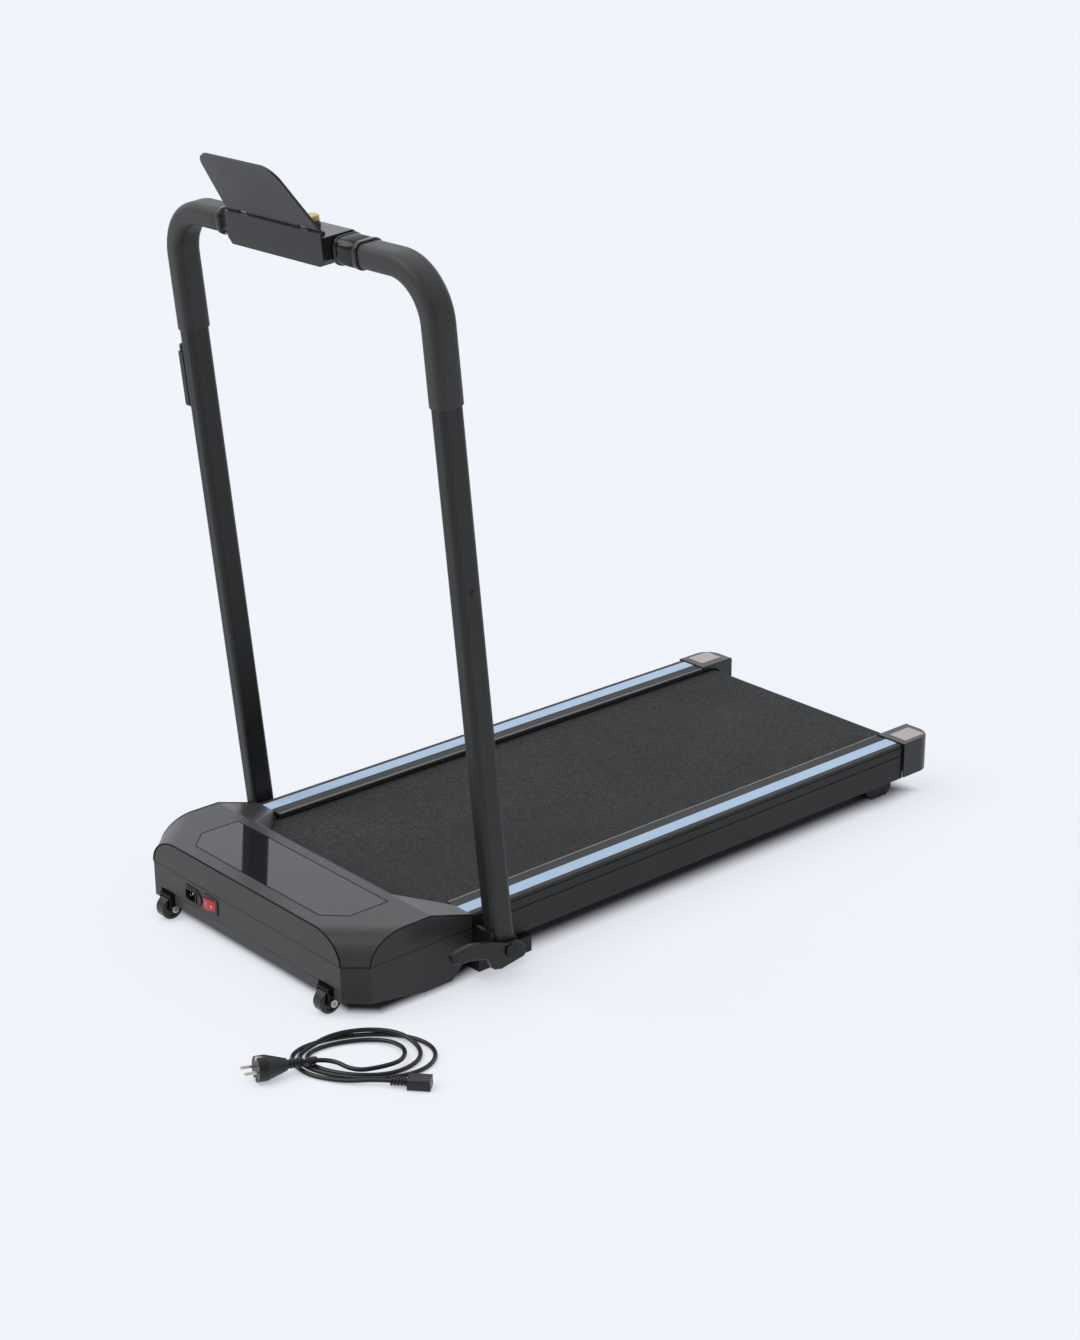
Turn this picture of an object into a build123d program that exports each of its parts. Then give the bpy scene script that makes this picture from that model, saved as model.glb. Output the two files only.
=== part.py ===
"""Folding walking treadmill: a low deck under a motor hood, with a U-shaped handrail that folds back.

Lengths are millimetres. +Z is up, the hood faces -Y, the tail is at +Y and the walker's left is +X.
Depths are measured back from the front panel and heights up from the floor.
"""
import math
import os

from build123d import *

# Overall layout
HALF_WIDTH = 270.0          # centre line to the outer wall of hood and rails
HOOD_REAR = 222.0           # depth where the hood wings end
RAIL_REAR = 1177.0          # depth where the side rails end
CAP_LENGTH = 74.0           # from the rails' ends to the tail
CASTER_R = 19.0
CASTER_DEPTH = 1.0          # depth of the caster axles

# Clearances
FIT = 0.05                  # running fit, per side
GAP = 0.3                   # between neighbouring pieces, per side

# Hood shell
HOOD_WALL = 3.0
HOOD_CORNER_X = 30.0        # width of the chamfered front corners
HOOD_CORNER_Y = 31.6        # depth of the chamfered front corners
PANEL_BOTTOM = 27.0
SKIRT_BOTTOM = 11.0
SKIRT_DEPTH = 130.0         # depth where the skirt reaches its lowest height
SKIRT_CORNER = 40.0         # bevel of the skirt's lower rear corner
HEAD_ROOM = 10.0            # from the motor to the hood's ceiling
CORNER_ROLL = 45.0          # radius that rolls the chamfered corners from the seam into the top
RIDGE_DEPTH = 145.0
WING_STEP = 0.5             # from the rails up to the wings' ends
SLOPE_RISE = 34.0           # height of the slope down to the belt
SLOPE_RUN = 45.0
SLOPE_TOP_X = 171.0         # half width of the slope at its top
SLOPE_SPREAD = 16.0         # widening of the slope from top to bottom
LEDGE_WIDTH = 27.0
WINDOW_THICK = 1.6
WINDOW_HALF = 190.0
WINDOW_BACK = 17.5          # from the window's rear edge to the ridge
WINDOW_FRONT = 26.0
WINDOW_CORNER = 32.0

# Deck, rollers and belt
ROLLER_R = 19.0
ROLLER_OVER = 2.0           # roller beyond the belt's edge
ROLLER_WALL = 3.0
ROLLER_PLUG = 14.0
SHAFT_R = 6.0
FRONT_ROLLER_DEPTH = 168.0
ROLLER_BEHIND = 23.0        # rear roller behind the rails' ends
BELT_THICK = 1.6
BELT_UNDER = 2.0            # belt edge under the side rail
BOARD_THICK = 16.0
BOARD_INSET = 34.0          # deck board in from the outer wall
BOARD_TOP = 94.2
BOARD_END_GAP = 6.0         # from the deck board to the rear roller
CUSHION_THICK = 3.2
CUSHION_LENGTH = 60.0
CUSHION_COUNT = 4
TUBE_INSET = 17.0           # frame tubes in from the outer wall
TUBE_WIDTH = 30.0
TUBE_HEIGHT = 30.0
TUBE_WALL = 2.0
FRAME_CLEAR = 7.0           # from the front roller's pulley to the frame tubes
TUBE_TAIL = 36.0            # from the rear roller to the tubes' ends
CROSS_COUNT = 3
CROSS_FIRST = 95.0          # first cross member behind the tubes' front
CROSS_LAST = 140.0          # last cross member ahead of the tubes' ends
CROSS_WIDTH = 30.0
CROSS_HEIGHT = 17.0
END_PLATE = 4.0
END_PLATE_DROP = 4.2        # end plates under the board's top
BOLT_R = 4.0
BOLT_HEAD_R = 6.5
BOLT_HEAD = 5.0
BOLT_SOCKET_R = 3.6
PAN_THICK = 3.0
PAN_CASTER_GAP = 4.0        # from the casters back to the pan
PAN_END_GAP = 5.0           # from the pan's floor back to the frame tubes
PAN_SIDE_TAIL = 12.0        # pan sides behind the fold brackets
PAN_SIDE_RISE = 8.8         # pan sides above the roller shafts

# Side rails and tail
RAIL_WIDTH = 58.0
RAIL_RISE = 11.8            # rail tops above the board
RAIL_DROP = 1.0             # rail bottoms under the frame tubes
RAIL_WALL = 3.5
RAIL_EDGE = 3.0             # bevel along the outer top edge
LIP_CLEAR = 1.9             # from the belt up to the rail's lip
RAIL_WEB = 5.0              # inner face of the supporting web, in from the board edge
GROOVE_DROPS = (4.5, 20.0)  # under the rail's top
GROOVE = 1.8
STRIPE_INSET = 22.3         # from the rail's inner edge
STRIPE_WIDTH = 24.0
STRIPE_THICK = 1.2
STRIPE_INLAY = 0.8
CAP_STEP = 4.0              # caps beyond the rails' outer walls
CAP_RISE = 1.5              # caps above the rails' tops
CAP_LIFT = 2.0              # caps above the rails' bottoms
CAP_WALL = 3.0
CAP_CORNER = 32.0
CAP_EDGE = 2.5
BELT_CLEAR = 3.0            # from the belt to the cap's arch and the hood's slot
PAD_ENDS = 13.0             # cap's rim before and behind the pad
PAD_SIDES = (16.0, 10.0)    # cap's rim on the inner and the outer side of the pad
PAD_THICK = 1.6
PAD_INLAY = 1.2
FOOT_AHEAD = 45.0           # foot ahead of the rails' ends
FOOT_LENGTH = 65.0
FOOT_WIDTH = 38.0
FOOT_LAP = 9.0              # foot under the frame tube
FOOT_FLANGE = 7.0
FOOT_TOE = 14.0
FOOT_EDGE = 5.0

# Casters
CASTER_INSET = 66.0         # in from the outer wall
CASTER_WIDTH = 20.0
CASTER_GROOVE = 2.0
CASTER_RIM_R = 13.3
CASTER_HUB_R = 6.6
CASTER_CLEAR = 1.0          # from the casters up to the pan's floor
FORK_PLATE = 2.5
FORK_SIDE_GAP = 1.5
FORK_ARM = 16.0
FORK_LAP = 36.0             # fork plate over the pan's floor
AXLE_R = 3.0
AXLE_HEAD_R = 6.0
AXLE_HEAD = 4.0
NOTCH_CLEAR = 4.5           # above the fork

# Mains inlet and switch on the front panel
INLET_X = -136.0
INLET_Z = 62.5
INLET_FLANGE_W = 52.0
INLET_FLANGE_H = 29.0
INLET_FLANGE = 2.0
INLET_BODY_W = 30.0
INLET_BODY_H = 23.0
INLET_BODY_DEPTH = 24.0
SOCKET_W = 24.5
SOCKET_H = 17.0
SOCKET_DEPTH = 18.0
SOCKET_CORNER = 5.0
PIN_WIDTH = 2.0
PIN_HEIGHT = 4.0
PIN_LENGTH = 15.0
PIN_PITCH = 7.0
PIN_RISE = 4.0
SWITCH_GAP = 6.0            # from the inlet's flange
SWITCH_Z = 65.5
SWITCH_W = 37.0
SWITCH_H = 27.0
SWITCH_RIM = 3.0
SWITCH_FLANGE = 2.0
SWITCH_BODY = 20.0
ROCKER_TILT = 8.0
ROCKER_PROUD = 4.0
ROCKER_PIVOT = 6.0
ROCKER_CLEAR = 1.2
ROCKER_PIN_R = 1.5
ROCKER_HUB = 3.8
ROCKER_TAPER = 2.7          # draw-in of the rocker's flanks

# Drive
MOTOR_R = 39.0
MOTOR_DEPTH = 70.0
MOTOR_X = (-150.0, -40.0)
MOTOR_SHAFT_R = 5.0
MOTOR_BORE = 30.0
MOTOR_FOOT_W = 50.0
MOTOR_FOOT_H = 20.0
MOTOR_PULLEY_R = 15.0
ROLLER_PULLEY_R = 30.0
PULLEY_GAP = 5.0            # from the roller's end
PULLEY_WIDTH = 14.0
HUB_R = 12.0
DRIVE_BELT_THICK = 2.5
DRIVE_BELT_MARGIN = 1.5
BOARD_X = (10.0, 190.0)
BOARD_DEPTH = (32.0, 128.0)
PCB_THICK = 1.6
STANDOFF = 8.0
STANDOFF_R = 3.0
SINK_FINS = 6
SINK_FIN = 2.0
SINK_HEIGHT = 32.0
CAPACITOR_R = 11.0
CAPACITOR_HEIGHT = 30.0
CAPACITOR_PITCH = 33.0

# Handrail, in its own upright frame with the pivot as origin
PIVOT_BEHIND = 28.1         # behind the hood wings
PIVOT_Z = 60.0
LEAN = 5.51                 # degrees, towards the front
UPRIGHT_OUT = 29.0          # beyond the deck's outer wall
RAIL_TUBE_W = 30.0
RAIL_TUBE_D = 40.0
RAIL_TUBE_CORNER = 9.0
RAIL_TUBE_WALL = 2.0
CROSSBAR_W = 1028.2         # from the pivot to the crossbar's centre
BEND_R = 75.0
JOINT_DROP = 20.2           # from the bend down to where the uprights meet the top bar
SPIGOT = 40.0
FOOT_COLLAR = 12.0          # from the pivot up to the tube's end
FOOT_TONGUE = 45.0
GRIP_WALL = 2.2
GRIP_DROP = 110.2           # from the bend down to the grip's end
COLLAR_END_X = 165.0
COLLAR_WALL = 5.2

# Fold bracket, pivot and clamp levers
BRACKET_GAP = 0.5           # from the hood wings
BRACKET_TAIL = 23.9         # behind the pivot
BRACKET_DROP = 18.0         # under the pivot
BRACKET_RISE = 22.0         # above the pivot
BRACKET_SIDE_GAP = 1.0
LEG_BOTTOM = 16.0           # bracket's leg above the floor
LEG_TAIL = 76.0             # bracket's leg behind the pivot
STOP_THICK = 5.5
STOP_W = (12.0, 34.0)
STOP_GAP = 0.4
PIN_R = 7.0
PIN_HEAD_R = 11.0
PIN_HEAD = 3.0
LEVER_GAP = 1.5
LEVER_THICK = 9.5
LEVER_ROUND = 6.0
LEVER_EDGE = 1.5
LEVER_OUTLINE = (            # depth and height from the pivot
    (-112.1, 28.0), (-74.1, 32.0), (-36.1, 23.0), (-2.1, 10.0), (19.9, 8.0), (28.9, -4.0),
    (28.9, -19.0), (-18.1, -26.0), (-33.1, -22.0), (-43.1, -1.0), (-75.1, 7.0), (-107.1, 10.0),
)

# Console on the crossbar; its outline is in depth and height about the crossbar's centre
CONSOLE_HALF = 112.0
CONSOLE_WALL = 2.5
CONSOLE_FRONT = -41.0
CONSOLE_BOTTOM = -18.0
CONSOLE_TOP = 23.0
CONSOLE_BREAK = 14.0        # where the flat top turns down to the sloping face
CONSOLE_REAR = 58.0
CONSOLE_LIP = -10.0         # lower edge of the sloping face
CONSOLE_CORNER = 9.0
CONSOLE_BROW = 6.5          # front wall above the flat top
CONSOLE_BROW_THICK = 1.8
DISPLAY_W = 84.0
DISPLAY_H = 22.0
DISPLAY_THICK = 1.6
DISPLAY_INLAY = 1.2
DISPLAY_UP = 10.0           # along the sloping face, from its middle
BUTTON_R = 6.0
BUTTON_FLANGE_R = 7.5
BUTTON_FLANGE = 1.0
BUTTON_PROUD = 1.6
BUTTON_DOWN = 14.0          # along the sloping face, from its middle
BUTTON_PITCH = 30.0
KEY_X = 45.0
KEY_DEPTH = -6.0
KEY_SKIRT_R = 13.0
KEY_SKIRT = 4.0
KEY_KNOB_R = 12.0
KEY_KNOB = 11.0

# Tablet flap
FLAP_LEAN = 35.0            # degrees from the vertical at rest, towards the front
FLAP_BASE = 110.0
FLAP_TOP = 87.0
FLAP_LENGTH = 115.0
FLAP_THICK = 3.5
FLAP_CORNER = 30.0
FLAP_INSET = 6.2            # hinge axis behind the console's front
FLAP_AXIS_UP = 4.5          # hinge axis above the console's top
FLAP_BARREL_R = 4.0
FLAP_PIN_R = 2.0
FLAP_PIN_END = 1.0          # pin beyond the ears
EAR_X = (60.0, 80.0)

# Remote control on the right upright
HOLDER_BELOW = 40.0         # from the grip's end down to the holder
HOLDER_HEIGHT = 88.0
HOLDER_HALF = 18.0
HOLDER_WALL = 1.6
HOLDER_LIP = 4.0
REMOTE_THICK = 5.4
REMOTE_LENGTH = 98.0

# Detached mains cord on the floor, in its own frame with X along the bundle
CORD_R = 3.3
CORD_X = 314.0
CORD_DEPTH = -103.0
CORD_TURN = 48.8            # degrees from +X
CORD_REST = CORD_R + 0.3    # height of the cord's centre line where it lies on the floor
COIL_CENTRE = (72.0, 12.0)
COIL_SEMI = (107.0, 76.0)
COIL_PITCH = (14.6, 10.0)   # loss of each half axis per turn inwards
COIL_DRIFT = 4.0            # shift of the centre per turn inwards
COIL_PINCH = 0.25           # share of the width lost at the end beside the plug
COIL_START = -60.0          # degrees
COIL_QUARTERS = 11
COIL_LIFT = 7.0             # height of the inner end above the other turns
COIL_DESCENT = 180.0        # degrees
PLUG_AXIS_Z = 19.8
PLUG_TURN = 24.0            # degrees from the bundle's direction
PLUG_TILT = 4.0             # degrees, down towards the cord
PLUG_FACE = (-77.8, -48.4)
PLUG_R = 18.5
PLUG_DISC = 14.0
PLUG_NECK_R = 9.0
PLUG_NECK = 44.0
RELIEF_R = 5.6
RELIEF_TIP_R = 4.6
RELIEF_RIBS = 5
PLUG_LENGTH = 70.0
PLUG_PIN_R = 2.4
PLUG_PIN_LENGTH = 19.0
PLUG_PIN_PITCH = 19.0
CONNECTOR_AT = (109.0, -62.0)
CONNECTOR_TURN = -7.5       # degrees from the bundle's direction
CONNECTOR_BODY = 32.8
CONNECTOR_RELIEF = 24.0
CONNECTOR_SLOTS = 6.0       # depth of the contact slots
PLUG_LEAD_FIRST = 34.0
PLUG_LEAD_LAST = 28.0
CONNECTOR_LEAD_FIRST = 26.0
CONNECTOR_LEAD_POINTS = ((20.0, -48.0, 3.6), (50.0, -57.0, 5.0))
CONNECTOR_LEAD_LAST = 24.0
LEAD_ARC = 0.45             # share of a run that an arc may take

# Places along the depth
CAP_REAR = RAIL_REAR + CAP_LENGTH
FRONT_Y = -(CAP_REAR + CASTER_DEPTH - CASTER_R) / 2
WINDOW_REAR = RIDGE_DEPTH - WINDOW_BACK
REAR_ROLLER_DEPTH = RAIL_REAR + ROLLER_BEHIND
TUBE_FRONT = FRONT_ROLLER_DEPTH + ROLLER_PULLEY_R + FRAME_CLEAR
TUBE_REAR = REAR_ROLLER_DEPTH + TUBE_TAIL
PIVOT_DEPTH = HOOD_REAR + PIVOT_BEHIND
BRACKET_FRONT = HOOD_REAR + BRACKET_GAP
BRACKET_REAR = PIVOT_DEPTH + BRACKET_TAIL
PAN_FRONT = CASTER_DEPTH + CASTER_R + PAN_CASTER_GAP
PAN_REAR = TUBE_FRONT - PAN_END_GAP
PAN_SIDE_REAR = BRACKET_REAR + PAN_SIDE_TAIL
FORK_BASE = PAN_FRONT + FORK_LAP
FOOT_FRONT = RAIL_REAR - FOOT_AHEAD
FOOT_REAR = FOOT_FRONT + FOOT_LENGTH

# Places across the width
RAIL_INNER = HALF_WIDTH - RAIL_WIDTH
STRIPE_INNER = RAIL_INNER + STRIPE_INSET
BELT_HALF = RAIL_INNER + BELT_UNDER
ROLLER_HALF = BELT_HALF + ROLLER_OVER
BOARD_HALF = HALF_WIDTH - BOARD_INSET
TUBE_OUTER = HALF_WIDTH - TUBE_INSET
TUBE_INNER = TUBE_OUTER - TUBE_WIDTH
PAN_OUTER = TUBE_OUTER + PAN_THICK
BOLT_X = (TUBE_INNER + TUBE_OUTER) / 2
CAP_OUTER = HALF_WIDTH + CAP_STEP
FOOT_OUTER = TUBE_INNER + FOOT_LAP
FOOT_INNER = FOOT_OUTER - FOOT_WIDTH
CASTER_X = HALF_WIDTH - CASTER_INSET
SWITCH_X = INLET_X + INLET_FLANGE_W / 2 + SWITCH_GAP + SWITCH_W / 2
PULLEY_X = (-ROLLER_HALF - PULLEY_GAP - PULLEY_WIDTH, -ROLLER_HALF - PULLEY_GAP)

# Heights
ROLLER_Z = BOARD_TOP - ROLLER_R
BELT_IN_R = ROLLER_R + GAP
BELT_OUT_R = BELT_IN_R + BELT_THICK
BELT_TOP = ROLLER_Z + BELT_OUT_R
BOARD_BOTTOM = BOARD_TOP - BOARD_THICK
TUBE_TOP = BOARD_BOTTOM - CUSHION_THICK
TUBE_BOTTOM = TUBE_TOP - TUBE_HEIGHT
END_PLATE_TOP = BOARD_TOP - END_PLATE_DROP
RAIL_TOP = BOARD_TOP + RAIL_RISE
RAIL_BOTTOM = TUBE_BOTTOM - RAIL_DROP
RAIL_LIP_BOTTOM = BELT_TOP + LIP_CLEAR
CAP_TOP = RAIL_TOP + CAP_RISE
CAP_BOTTOM = RAIL_BOTTOM + CAP_LIFT
PAN_FLOOR = 2 * CASTER_R + CASTER_CLEAR
PAN_BOTTOM = PAN_FLOOR - PAN_THICK
PAN_SIDE_TOP = ROLLER_Z + PAN_SIDE_RISE
NOTCH_TOP = PAN_FLOOR + FORK_PLATE + NOTCH_CLEAR
MOTOR_Z = PAN_FLOOR + MOTOR_R
HOOD_TOP = MOTOR_Z + MOTOR_R + HEAD_ROOM + HOOD_WALL
SEAM_Z = HOOD_TOP - CORNER_ROLL
WING_END_Z = RAIL_TOP + WING_STEP
BRACKET_BOTTOM = PIVOT_Z - BRACKET_DROP
BRACKET_TOP = PIVOT_Z + BRACKET_RISE

# Handrail and console
UPRIGHT_X = HALF_WIDTH + UPRIGHT_OUT
UPRIGHT_INNER = UPRIGHT_X - RAIL_TUBE_W / 2
UPRIGHT_OUTER = UPRIGHT_X + RAIL_TUBE_W / 2
BRACKET_OUTER = UPRIGHT_INNER - BRACKET_SIDE_GAP
LEVER_INNER = UPRIGHT_OUTER + LEVER_GAP
LEVER_OUTER = LEVER_INNER + LEVER_THICK
BEND_X = UPRIGHT_X - BEND_R
BEND_W = CROSSBAR_W - BEND_R
JOINT_W = BEND_W - JOINT_DROP
GRIP_END_W = BEND_W - GRIP_DROP
HOLDER_W = (GRIP_END_W - HOLDER_BELOW - HOLDER_HEIGHT, GRIP_END_W - HOLDER_BELOW)
HOLDER_BACK = GRIP_WALL + 2 * GAP
FLAP_AXIS_DEPTH = CONSOLE_FRONT + FLAP_INSET
SLOPE_DROP = CONSOLE_TOP - CONSOLE_LIP
SLOPE_TURN = math.degrees(math.atan2(SLOPE_DROP, CONSOLE_REAR - CONSOLE_BREAK))

HANDRAIL = Pos(0, FRONT_Y + PIVOT_DEPTH, PIVOT_Z) * Rot(LEAN, 0, 0)
CONSOLE = HANDRAIL * Pos(0, 0, CROSSBAR_W)
CONNECTOR_W = SOCKET_W - 2 * GAP
CONNECTOR_H = SOCKET_H - 2 * GAP
CONNECTOR_Z = CONNECTOR_H / 2 + GAP
CORD = Pos(CORD_X, FRONT_Y + CORD_DEPTH, 0) * Rot(0, 0, CORD_TURN)
TO_RIGHT = Plane.YZ
UPWARDS = (Align.CENTER, Align.CENTER, Align.MIN)


def save(name, shape):
    """Write one node."""
    export_step(shape, os.path.join("parts", name + ".step"))


def box(x, y, z):
    """Box between two limits on each axis."""
    spans = (x, y, z)
    centre = [(low + high) / 2 for low, high in spans]
    return Pos(*centre) * Box(*[high - low for low, high in spans])


def block(x, depth, z):
    """Box with its depth measured from the front panel."""
    return Pos(0, FRONT_Y, 0) * box(x, depth, z)


def rod(radius, x, depth, z):
    """Cylinder along X."""
    middle = (x[0] + x[1]) / 2
    return Pos(middle, FRONT_Y + depth, z) * Rot(0, 90, 0) * Cylinder(radius, x[1] - x[0])


def side_prism(points, x):
    """Outline in depth and height, drawn out along X."""
    plane = Plane(origin=(x[0], FRONT_Y, 0), x_dir=(0, 1, 0), z_dir=(1, 0, 0))
    return extrude(plane * make_face(Polyline(*points, close=True)), x[1] - x[0], dir=(1, 0, 0))


def both(shape):
    """The shape and its mirror image, as one group."""
    return Compound(children=[shape, mirror(shape, TO_RIGHT)])


def save_pair(name, shape):
    """A left piece and its mirror image on the right, as two nodes."""
    save(name + "_left", shape)
    save(name + "_right", mirror(shape, TO_RIGHT))


# Hood

def hood_plan(inset):
    """Plan of the hood, drawn in by a wall and open at the rear."""
    rear = HOOD_REAR + 2 * inset
    front_half = HALF_WIDTH - HOOD_CORNER_X
    half = [(front_half, 0), (HALF_WIDTH, HOOD_CORNER_Y), (HALF_WIDTH, rear)]
    points = half + [(-x, y) for x, y in reversed(half)]
    plan = make_face(Polyline(*points, close=True))
    if inset > 0:
        plan = offset(plan, -inset)
    return Pos(0, FRONT_Y, 0) * plan


def corner_roll_cut(inset):
    """What the roll of the left front corner takes off the hood's top."""
    length = math.hypot(HOOD_CORNER_X, HOOD_CORNER_Y)
    out_x = HOOD_CORNER_Y / length
    out_y = -HOOD_CORNER_X / length
    centre_x = HALF_WIDTH - HOOD_CORNER_X / 2 - CORNER_ROLL * out_x
    centre_y = HOOD_CORNER_Y / 2 - CORNER_ROLL * out_y
    reach = 2 * CORNER_ROLL
    span = 6 * length
    corner = Box(reach, span, reach, align=(Align.MIN, Align.CENTER, Align.MIN))
    corner -= Rot(90, 0, 0) * Cylinder(CORNER_ROLL - inset, span)
    turn = math.degrees(math.atan2(out_y, out_x))
    return Pos(centre_x, FRONT_Y + centre_y, HOOD_TOP - CORNER_ROLL) * Rot(0, 0, turn) * corner


def wing_cut(inset):
    """What lies above the wings, which fall from the ridge to the rails."""
    fall = (HOOD_TOP - WING_END_Z) / (HOOD_REAR - RIDGE_DEPTH)
    drop = inset * math.hypot(1, fall)
    front = RIDGE_DEPTH - 2 * HOOD_WALL / fall
    rear = HOOD_REAR + 10 * HOOD_WALL
    above = HOOD_TOP + 10 * HOOD_WALL
    points = [
        (front, HOOD_TOP - drop + (RIDGE_DEPTH - front) * fall),
        (rear, HOOD_TOP - drop - (rear - RIDGE_DEPTH) * fall),
        (rear, above),
        (front, above),
    ]
    return side_prism(points, (-2 * HALF_WIDTH, 2 * HALF_WIDTH))


def slope_cut(inset):
    """What lies above the slope and between the wings' inner facets."""
    run = SLOPE_RUN / SLOPE_RISE
    spread = SLOPE_SPREAD / SLOPE_RISE
    rear = 2 * HOOD_REAR
    facet_shift = inset * math.sqrt(2 + (run - spread) ** 2)

    def section(z):
        below = HOOD_TOP - z
        front = RIDGE_DEPTH + below * run - inset * math.hypot(1, run)
        offset_x = SLOPE_TOP_X - RIDGE_DEPTH + below * (spread - run) + facet_shift
        half = [(front + offset_x, front), (rear + offset_x, rear)]
        points = half + [(-x, y) for x, y in reversed(half)]
        return Pos(0, FRONT_Y, z) * make_face(Polyline(*points, close=True))

    return loft([section(SEAM_Z - HOOD_WALL), section(HOOD_TOP + HOOD_WALL)], ruled=True)


def hood_form(inset):
    """Solid of the hood cover, drawn in by a wall on every closed side."""
    bottom = SEAM_Z - inset
    form = extrude(Pos(0, 0, bottom) * hood_plan(inset), HOOD_TOP - inset - bottom, dir=(0, 0, 1))
    roll = corner_roll_cut(inset)
    return form - roll - mirror(roll, TO_RIGHT) - wing_cut(inset) - slope_cut(inset)


def window_plan(gap):
    """Six-sided plan of the display window."""
    half = [
        (WINDOW_HALF - WINDOW_CORNER, WINDOW_FRONT),
        (WINDOW_HALF, WINDOW_FRONT + WINDOW_CORNER),
        (WINDOW_HALF, WINDOW_REAR),
    ]
    points = half + [(-x, y) for x, y in reversed(half)]
    plan = make_face(Polyline(*points, close=True))
    if gap > 0:
        plan = offset(plan, gap, kind=Kind.INTERSECTION)
    return Pos(0, FRONT_Y, HOOD_TOP - WINDOW_THICK) * plan


def hood_cover():
    cover = hood_form(0) - hood_form(HOOD_WALL)
    slot_half = BELT_HALF + BELT_CLEAR
    slot_top = BELT_TOP + BELT_CLEAR
    cover -= block((-slot_half, slot_half), (RIDGE_DEPTH, 2 * HOOD_REAR), (0, slot_top))
    board_half = BOARD_HALF + GAP
    cover -= block((-board_half, board_half), (TUBE_FRONT - GAP, 2 * HOOD_REAR), (0, BOARD_TOP + GAP))
    return cover - extrude(window_plan(GAP), WINDOW_THICK, dir=(0, 0, 1))


def display_window():
    return extrude(window_plan(0), WINDOW_THICK, dir=(0, 0, 1))


def hood_base():
    height = SEAM_Z - SKIRT_BOTTOM
    base = extrude(Pos(0, 0, SKIRT_BOTTOM) * (hood_plan(0) - hood_plan(HOOD_WALL)), height, dir=(0, 0, 1))
    under = [
        (-HOOD_WALL, 0),
        (-HOOD_WALL, PANEL_BOTTOM),
        (HOOD_CORNER_Y, PANEL_BOTTOM),
        (SKIRT_DEPTH, SKIRT_BOTTOM),
        (SKIRT_DEPTH, 0),
    ]
    base -= side_prism(under, (-2 * HALF_WIDTH, 2 * HALF_WIDTH))
    low = SKIRT_BOTTOM - HOOD_WALL
    behind = HOOD_REAR + HOOD_WALL
    reach = SKIRT_CORNER + 2 * HOOD_WALL
    corner = [(behind - reach, low), (behind, low), (behind, low + reach)]
    base -= side_prism(corner, (-2 * HALF_WIDTH, 2 * HALF_WIDTH))
    ledge = block(
        (HALF_WIDTH - LEDGE_WIDTH, HALF_WIDTH - HOOD_WALL / 2),
        (2 * HOOD_CORNER_Y, PAN_REAR),
        (PAN_BOTTOM - HOOD_WALL, PAN_BOTTOM),
    )
    notch_half = CASTER_WIDTH / 2 + FORK_SIDE_GAP + FORK_PLATE + AXLE_HEAD + GAP
    notch = block(
        (CASTER_X - notch_half, CASTER_X + notch_half),
        (-HOOD_WALL, CASTER_R + 2 * HOOD_WALL),
        (0, NOTCH_TOP),
    )
    for piece in (ledge, mirror(ledge, TO_RIGHT)):
        base += piece
    for piece in (notch, mirror(notch, TO_RIGHT)):
        base -= piece
    base -= panel_hole(INLET_X, INLET_Z, INLET_BODY_W, INLET_BODY_H)
    return base - panel_hole(SWITCH_X, SWITCH_Z, SWITCH_W - 2 * SWITCH_RIM, SWITCH_H - 2 * SWITCH_RIM)


def panel_hole(x, z, width, height):
    """Hole through the front panel for a snapped-in body."""
    half_w = width / 2 + GAP
    half_h = height / 2 + GAP
    return block((x - half_w, x + half_w), (-HOOD_WALL, 2 * HOOD_WALL), (z - half_h, z + half_h))


# Mains inlet and switch

def front_plane(x, z, depth=0.0):
    """Plane on the front panel, with its normal towards the front."""
    return Plane(origin=(x, FRONT_Y + depth, z), x_dir=(1, 0, 0), z_dir=(0, -1, 0))


def power_inlet():
    plane = front_plane(INLET_X, INLET_Z)
    inward = (0, 1, 0)
    half_w = INLET_FLANGE_W / 2
    half_h = INLET_FLANGE_H / 2
    ear = half_h / 3
    shoulder = INLET_BODY_W / 2
    quarter = [(half_w, ear), (shoulder, half_h)]
    upper = quarter + [(-x, z) for x, z in reversed(quarter)]
    points = upper + [(x, -z) for x, z in reversed(upper)]
    inlet = extrude(plane * make_face(Polyline(*points, close=True)), INLET_FLANGE, dir=(0, -1, 0))
    inlet += extrude(plane * Rectangle(INLET_BODY_W, INLET_BODY_H), INLET_BODY_DEPTH, dir=inward)
    mouth = Plane(plane.origin + Vector(0, -INLET_FLANGE, 0), plane.x_dir, plane.z_dir)
    socket = chamfer((mouth * Rectangle(SOCKET_W, SOCKET_H)).vertices().group_by(Axis.Z)[0], SOCKET_CORNER)
    inlet -= extrude(socket, SOCKET_DEPTH, dir=inward)
    for pin in pin_places():
        inlet -= pin
    return inlet


def pin_places():
    """The three contact blades of the inlet."""
    base = SOCKET_DEPTH - INLET_FLANGE
    tip = base - PIN_LENGTH
    rear = base + (INLET_BODY_DEPTH - base) / 2
    places = ((-PIN_PITCH, -PIN_RISE / 2), (0, PIN_RISE / 2), (PIN_PITCH, -PIN_RISE / 2))
    blades = []
    for shift_x, shift_z in places:
        x = INLET_X + shift_x
        z = INLET_Z + shift_z
        blades.append(block(
            (x - PIN_WIDTH / 2, x + PIN_WIDTH / 2), (tip, rear), (z - PIN_HEIGHT / 2, z + PIN_HEIGHT / 2)
        ))
    return blades


def switch_opening(clear):
    """Inside of the switch's rim, drawn in by a clearance."""
    half_w = SWITCH_W / 2 - SWITCH_RIM - clear
    half_h = SWITCH_H / 2 - SWITCH_RIM - clear
    return half_w, half_h


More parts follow.
